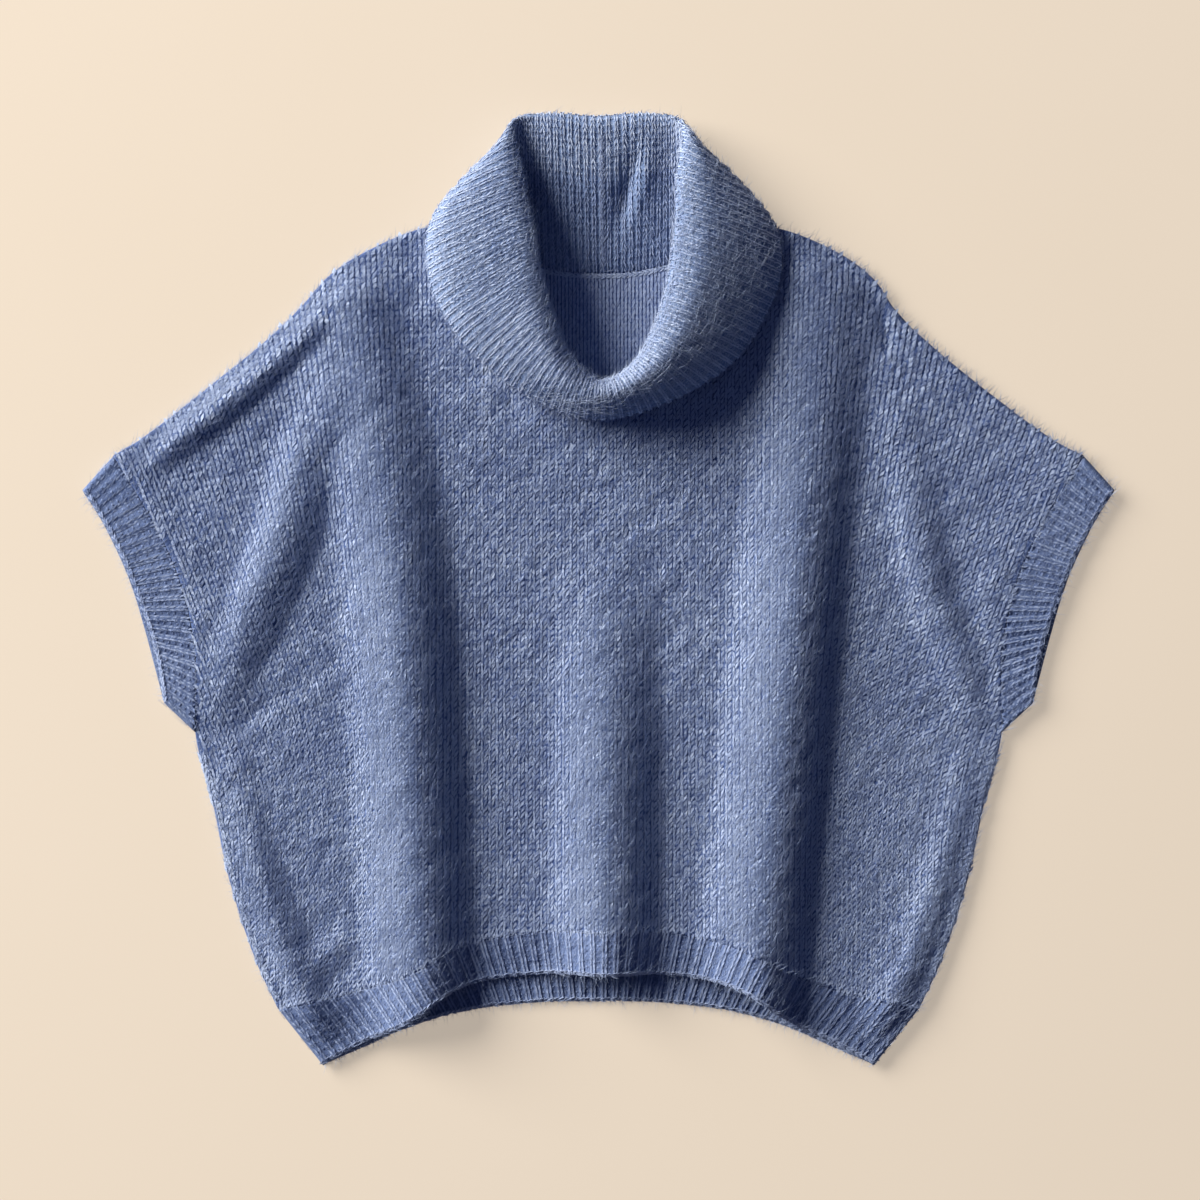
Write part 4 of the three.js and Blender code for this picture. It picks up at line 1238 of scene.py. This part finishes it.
collar_out = grid_facing(collar_middle, ring=True)
rib = rib_wave(np.arange(collar_columns) / collar_columns, COLLAR_RIBS)
down = np.linspace(0, 1, COLLAR_STEPS)[:, None]
rim_turn = np.clip((down - COLLAR_EDGE_FROM) / COLLAR_EDGE_REACH, 0, 1)
rim_turn += np.clip((COLLAR_START_REACH - down) / COLLAR_START_REACH, 0, 1)
shows = ease((collar_out[..., 2] - RIBS_SHOW_FROM) / RIBS_SHOW_FADE)
face_reach = CLOTH / 2 - COLLAR_THINS + RIB_FORM * rib * shows - COLLAR_EDGE_THINS * rim_turn
collar_face = collar_middle + collar_out * face_reach[..., None]
collar_under = collar_middle - collar_out * (CLOTH / 2)
collar_face[..., 2] = np.maximum(collar_face[..., 2], 0)
collar_under[..., 2] = np.maximum(collar_under[..., 2], 0)
collar_wall = wall_mesh("collar_cloth", collar_face, sparser(collar_under, ring=True), ring=True)
collar = cloth_piece("collar_cloth", collar_wall, collar_shaded_ground, "collar")
collar_course = float(np.mean(collar_length)) / COLLAR_COURSES
collar_stitches = []
# The collar's inner side takes the same darker yarn, painted shade inside the neck.
for side, part, bar, yarn, seed in (("inner", (0.0, COLLAR_TURN), rib_shaded_ground, inner_shaded_yarn, 61),
                                    ("outer", (COLLAR_TURN, 1.0), collar_bar, collar_yarn, 62)):
    collar_stitches += rib_stitches(
        "collar_" + side, collar_face, COLLAR_RIBS, COLLAR_COURSES, COLLAR_PITCH, collar_course, bar, yarn,
        "rib_knit", seed, ring=True, uneven=COLLAR_UNEVEN, part=part)

# Sewing and edges
# Cast-off chains close the ribs, a picked-up chain joins the collar to the back, a seam closes the collar
# at the back, and a chain selvedge edges both sides of the front below the cuffs.
CHAIN_WIDTH = 0.0036
CHAIN_STEP = 0.0042
CHAIN_HEIGHT = 0.0014
SELVEDGE_INSET = 0.0030
SELVEDGE_FROM = 0.54
SELVEDGE_TO = 0.99
SELVEDGE_STEPS = 160
NECK_CHAIN_DROP = 0.0035
NECK_CHAIN_RAISED = 0.0004
NECK_CHAIN_STEPS = 80
SEAM_SHOWS = 0.62
SEAM_RIB = -3
SEAM_RAISED = 0.0005


def chain(name, line, facing, material, slot, seed):
    """A chain of small V stitches along a line of points."""
    spans = np.linalg.norm(np.diff(line, axis=0), axis=1)
    far = np.concatenate([[0], np.cumsum(spans)])
    even = (np.arange(int(far[-1] / CHAIN_STEP)) + 0.5) * CHAIN_STEP

    def read(values):
        return np.stack([np.interp(even, far, values[:, k]) for k in range(3)], 1)
    run = unit(np.gradient(line, axis=0))
    normal = unit(read(facing))
    along = read(run)
    along = unit(along - normal * np.sum(along * normal, axis=1, keepdims=True))
    return knit_piece(name, plain_stitches(
        read(line), normal, along, CHAIN_WIDTH, CHAIN_STEP, CHAIN_HEIGHT), material, slot, seed,
        turn=0.12, size=0.15, scatter=0.0002)


def cast_off(name, grid, seed, ring=False):
    """The chain that closes a rib, along the last row but one of its grid."""
    line, facing = grid[-2], grid_facing(grid, ring)[-2]
    if ring:
        line, facing = np.vstack([line, line[:1]]), np.vstack([facing, facing[:1]])
    return chain(name + "_cast_off", line, facing, rib_yarn, "rib_knit", seed)


edge_chains = [
    cast_off("back_hem", back_hem_grid, 81),
    cast_off("front_hem", front_hem_grid, 82),
    cast_off("cuff_left", cuff_left_grid, 83),
    cast_off("cuff_right", cuff_right_grid, 84),
    cast_off("collar", collar_face, 85, ring=True)]

neck_back = np.linspace(NECK_RIGHT, len(NECK_SEAM) + NECK_LEFT, NECK_CHAIN_STEPS)
neck_line = round_neck(NECK_SEAM, neck_back) - [0, NECK_CHAIN_DROP]
neck_line = np.column_stack([neck_line, np.full(NECK_CHAIN_STEPS, GROUND + NECK_CHAIN_RAISED)])
straight_up = np.broadcast_to([0.0, 0.0, 1.0], neck_line.shape)
neck_chain = chain("neck_seam_chain", neck_line, straight_up, body_yarn, "body_knit", 86)


def selvedge(name, turn, seed):
    """The chain selvedge along one side of the front."""
    down = np.linspace(SELVEDGE_FROM, SELVEDGE_TO, SELVEDGE_STEPS)
    width = np.linalg.norm(right_side(down) - left_side(down), axis=1)
    inset = SELVEDGE_INSET / width
    side_line = front_plan(np.where(turn < 0, inset, 1 - inset), down)
    line, facing, _ = dropped(side_line, front_tree)
    line[:, 2] += CHAIN_HEIGHT / 4
    return chain(name, line, facing, body_yarn, "body_knit", seed)


seam_end = int(COLLAR_STEPS * SEAM_SHOWS)
seam_facing = grid_facing(collar_face, ring=True)[1:seam_end, SEAM_RIB]
seam_line = collar_face[1:seam_end, SEAM_RIB] + seam_facing * SEAM_RAISED
collar_seam = chain("collar_back_seam", seam_line, seam_facing, rib_yarn, "rib_knit", 89)
selvedges = [selvedge("selvedge_left", -1, 87), selvedge("selvedge_right", 1, 88)]

# Brushed halo
# The mohair in the yarn is raised by brushing, so fine fibres lie over the stitches, mostly up to the
# right, and stand a little off the cloth. Each fibre is a slender spine.
HALO_YARN = "#A0B0D1"
HALO_DEEP = "#8798BF"
HALO_PALE = "#B2C0DB"
HALO_LENGTH = 0.0105
HALO_LENGTHS = (0.5, 1.35)
HALO_WIDTHS = (0.7, 1.3)
HALO_RADIUS = 0.00017
HALO_START = 0.0008
HALO_WAY = (0.55, 0.83, 0.0)
HALO_SPREAD = 0.6
HALO_LIFT = math.radians(9)
HALO_LIFT_SPREAD = math.radians(9)
halo_fibre = brushed_yarn("raised mohair fibres", HALO_YARN, HALO_DEEP, HALO_PALE, 0.4)
# Paler fibres, laid on the fold crests and left flanks that face the lamp and over the collar: a painted
# highlight.
HIGHLIGHT_YARN = "#AFBDD7"
HIGHLIGHT_DEEP = "#9AAAC9"
HIGHLIGHT_PALE = "#BCC8DF"
highlight_fibre = brushed_yarn(
    "raised mohair fibres, thick and pale", HIGHLIGHT_YARN, HIGHLIGHT_DEEP, HIGHLIGHT_PALE, 0.4)


def halo_tree():
    """Strews slender fibres over the outer face of a cloth and lays them along the brushed direction."""
    tree, given = new_tree(
        "brushed halo", Cloth="Geometry", Density="Float", Length="Float", Turn_spread="Float",
        Brushed="Vector", Seed="Int", Yarn="Material")

    def between(low, high, seed_shift):
        return random_between(tree, low, high, given["Seed"], seed_shift)

    density = add_node(tree, "ShaderNodeMath", {
        0: given["Density"], 1: named_value(tree, "pile")}, operation="MULTIPLY")
    roots = add_node(tree, "GeometryNodeDistributePointsOnFaces", {
        "Mesh": given["Cloth"], "Density": density.outputs[0], "Seed": given["Seed"]},
        distribute_method="RANDOM")
    height = add_node(tree, "ShaderNodeVectorMath", {
        0: roots.outputs["Normal"], "Scale": HALO_START}, operation="SCALE")
    raised = add_node(tree, "GeometryNodeSetPosition", {
        "Geometry": roots.outputs["Points"], "Offset": height.outputs[0]})
    lowest, highest = (HALO_LIFT + way * HALO_LIFT_SPREAD - math.pi / 2 for way in (-1, 1))
    turns = add_node(tree, "ShaderNodeCombineXYZ", {
        "X": between(lowest, highest, 1),
        "Z": random_spread(tree, given["Turn spread"], given["Seed"], 2)})
    lying = laid_along(tree, roots.outputs["Normal"], given["Brushed"], turns)

    spine = add_node(tree, "GeometryNodeMeshCone", {
        "Vertices": 3, "Side Segments": 1, "Radius Top": 0.0, "Radius Bottom": HALO_RADIUS,
        "Depth": 1.0}, fill_type="NONE")
    length = add_node(tree, "ShaderNodeMath", {
        0: given["Length"], 1: between(*HALO_LENGTHS, 3)}, operation="MULTIPLY")
    size = add_node(tree, "ShaderNodeCombineXYZ", {
        "X": between(*HALO_WIDTHS, 4), "Y": 1.0, "Z": length.outputs[0]})
    fibres = add_node(tree, "GeometryNodeInstanceOnPoints", {
        "Points": raised.outputs[0], "Instance": spine.outputs["Mesh"],
        "Rotation": lying, "Scale": size.outputs[0]})
    return end_tree(tree, fibres, given["Yarn"])


HALO_TREE = halo_tree()


def halo(cloth, density, seed, yarn=halo_fibre, weight_at=None, name_end="_halo"):
    """The fibres raised from one cloth shell, thicker where the weight at a place is higher."""
    mesh = cloth.data.copy()
    if weight_at is not None:
        centres = np.empty(len(mesh.polygons) * 3, np.float32)
        mesh.polygons.foreach_get("center", centres)
        pile = np.empty(len(mesh.polygons), np.float32)
        mesh.attributes["pile"].data.foreach_get("value", pile)
        mesh.attributes["pile"].data.foreach_set("value", pile * weight_at(*centres.reshape(-1, 3).T))
    piece = link_object(cloth.name.replace("_cloth", name_end), mesh)
    piece = grown(piece, HALO_TREE, {
        "Density": density, "Length": HALO_LENGTH, "Turn spread": HALO_SPREAD, "Brushed": HALO_WAY,
        "Seed": seed, "Yarn": yarn})
    return set_down(piece)


# Fibres for each square metre, and where they stand thickest.
FRONT_PILE = 180000.0
CREST_PILE = 300000.0
COLLAR_PILE = 150000.0
FRONT_HEM_PILE = 110000.0
BAND_PILE = 60000.0
CREST_FROM, CREST_TO = 0.002, 0.011
FLANK_STEP = 0.003
FLANK_TURN = 0.12
ROLL_LEAST, ROLL_MORE = 0.2, 1.3
ROLL_FROM, ROLL_CLIMB = 0.016, 0.028


def lit_crest(x, y, z):
    """Where the pale fibres lie: along the crests and their left flanks, which face the lamp, so their
    paleness is a painted highlight.
    """
    flank = (folds_rise(x + FLANK_STEP, y) - folds_rise(x - FLANK_STEP, y)) / FLANK_STEP / 2
    high = ease((folds_rise(x, y) - CREST_FROM) / (CREST_TO - CREST_FROM))
    return (high * ease((flank + FLANK_TURN) / (2 * FLANK_TURN))).astype(np.float32)


def roll_highlight(x, y, z):
    """The collar's pale fibres stand thickest on the top of its roll, a painted highlight there."""
    return (ROLL_LEAST + ROLL_MORE * ease((z - ROLL_FROM) / ROLL_CLIMB)).astype(np.float32)


front_halo = halo(front, FRONT_PILE, 71)
# Pale fibres on the lit crests and flanks, a painted highlight.
crest_halo = halo(front, CREST_PILE, 70, highlight_fibre, lit_crest, "_crest_halo")
collar_halo = halo(collar, COLLAR_PILE, 72, highlight_fibre, roll_highlight)
front_hem_halo = halo(front_hem, FRONT_HEM_PILE, 73)
back_hem_halo = halo(back_hem, BAND_PILE, 74)
cuff_left_halo = halo(cuff_left, BAND_PILE, 75)
cuff_right_halo = halo(cuff_right, BAND_PILE, 76)

# Stray fibres
# Single curled hairs of mohair that stand out from the edges of the front, the bands and the cuffs, and
# from the collar's edge and roll. Each thins towards its tip.
WISP_LENGTH = (0.004, 0.013)
WISP_LEFT = (0.4, 1.0)
WISP_RADIUS = 0.00013
WISP_STEPS = 5
WISP_CURL = (0.3, 1.6)
WISP_SPREAD = 0.45
WISP_TIP = 0.15
SIDE_HAIRS = 520
SHOULDER_HAIRS = 640
BAND_HAIRS = 420
CUFF_HAIRS = 240


def wisp_tree():
    """Makes every line of edges a slender three-sided hair that thins towards its tip."""
    tree, given = new_tree("stray fibres", Lines="Geometry", Radius="Float", Yarn="Material")
    line = add_node(tree, "GeometryNodeMeshToCurve", {"Mesh": given["Lines"]})
    round_line = add_node(tree, "GeometryNodeCurvePrimitiveCircle", {
        "Resolution": 3, "Radius": given["Radius"]})
    factor = add_node(tree, "GeometryNodeSplineParameter").outputs["Factor"]
    taper = add_node(tree, "ShaderNodeMath", {0: 1.0, 1: factor}, operation="SUBTRACT")
    thick = add_node(tree, "ShaderNodeMath", {0: taper.outputs[0], 1: WISP_TIP}, operation="MAXIMUM")
    hair = add_node(tree, "GeometryNodeCurveToMesh", {
        "Curve": line.outputs[0], "Profile Curve": round_line.outputs[0], "Scale": thick.outputs[0],
        "Fill Caps": True})
    return end_tree(tree, hair, given["Yarn"])


WISP_TREE = wisp_tree()


def wisps(name, line, outward, count, seed):
    """Stray fibres that leave a line of points roughly in its outward direction."""
    random = np.random.default_rng(seed)
    at = random.uniform(0, len(line) - 1.001, count)
    low = np.floor(at).astype(int)
    part = (at - low)[:, None]
    root = line[low] * (1 - part) + line[low + 1] * part
    out = unit(outward[low] * (1 - part) + outward[low + 1] * part)
    out = unit(out + random.normal(0, WISP_SPREAD, (count, 3)))
    curl = unit(random.normal(0, 1, (count, 3))) * random.uniform(*WISP_CURL, count)[:, None]
    length = random.uniform(*WISP_LENGTH, count) * random.uniform(*WISP_LEFT, count)
    points = [root]
    for step in range(WISP_STEPS):
        way = unit(out + curl * (step / WISP_STEPS))
        points.append(points[-1] + way * (length / WISP_STEPS)[:, None])
    points = np.stack(points, 1)
    points[..., 2] = np.maximum(points[..., 2], WISP_RADIUS)
    ids = np.arange(count * (WISP_STEPS + 1)).reshape(count, -1)
    edges = np.stack([ids[:, :-1], ids[:, 1:]], -1).reshape(-1, 2)
    mesh = bpy.data.meshes.new(name)
    mesh.from_pydata(points.reshape(-1, 3).tolist(), edges.tolist(), [])
    piece = grown(link_object(name, mesh), WISP_TREE, {"Radius": WISP_RADIUS, "Yarn": halo_fibre})
    return set_down(piece)


def away_from(line, centre):
    """Level directions across a line, away from a place in the plan."""
    run = np.gradient(line, axis=0)
    across = np.column_stack([run[:, 1], -run[:, 0], np.zeros(len(line))])
    return unit(across * np.sign(np.sum(across * (line - [*centre, 0]), axis=1, keepdims=True)))


def edge_wisps(name, line, count, seed):
    """Stray fibres along an edge, level and away from the middle of the sweater."""
    return wisps(name, line, away_from(line, (0.0, 0.0)), count, seed)


front_wisps = [
    edge_wisps("left_edge_fibres", front_face[:, 2], SIDE_HAIRS, 91),
    edge_wisps("right_edge_fibres", front_face[:, -3], SIDE_HAIRS, 92),
    edge_wisps("shoulder_fibres", front_face[2], SHOULDER_HAIRS, 93)]
front_hem_wisps = edge_wisps("front_hem_fibres", front_hem_grid[-1], BAND_HAIRS, 94)
back_hem_wisps = edge_wisps("back_hem_fibres", back_hem_grid[-1], BAND_HAIRS, 95)
cuff_left_wisps = edge_wisps("cuff_left_fibres", cuff_left_grid[-1], CUFF_HAIRS, 96)
cuff_right_wisps = edge_wisps("cuff_right_fibres", cuff_right_grid[-1], CUFF_HAIRS, 97)
collar_wisps = [
    wisps(name, collar_face[row], collar_out[row], BAND_HAIRS, seed)
    for name, row, seed in (("collar_edge_fibres", -1, 98), ("collar_roll_fibres", COLLAR_STEPS // 2, 99))]
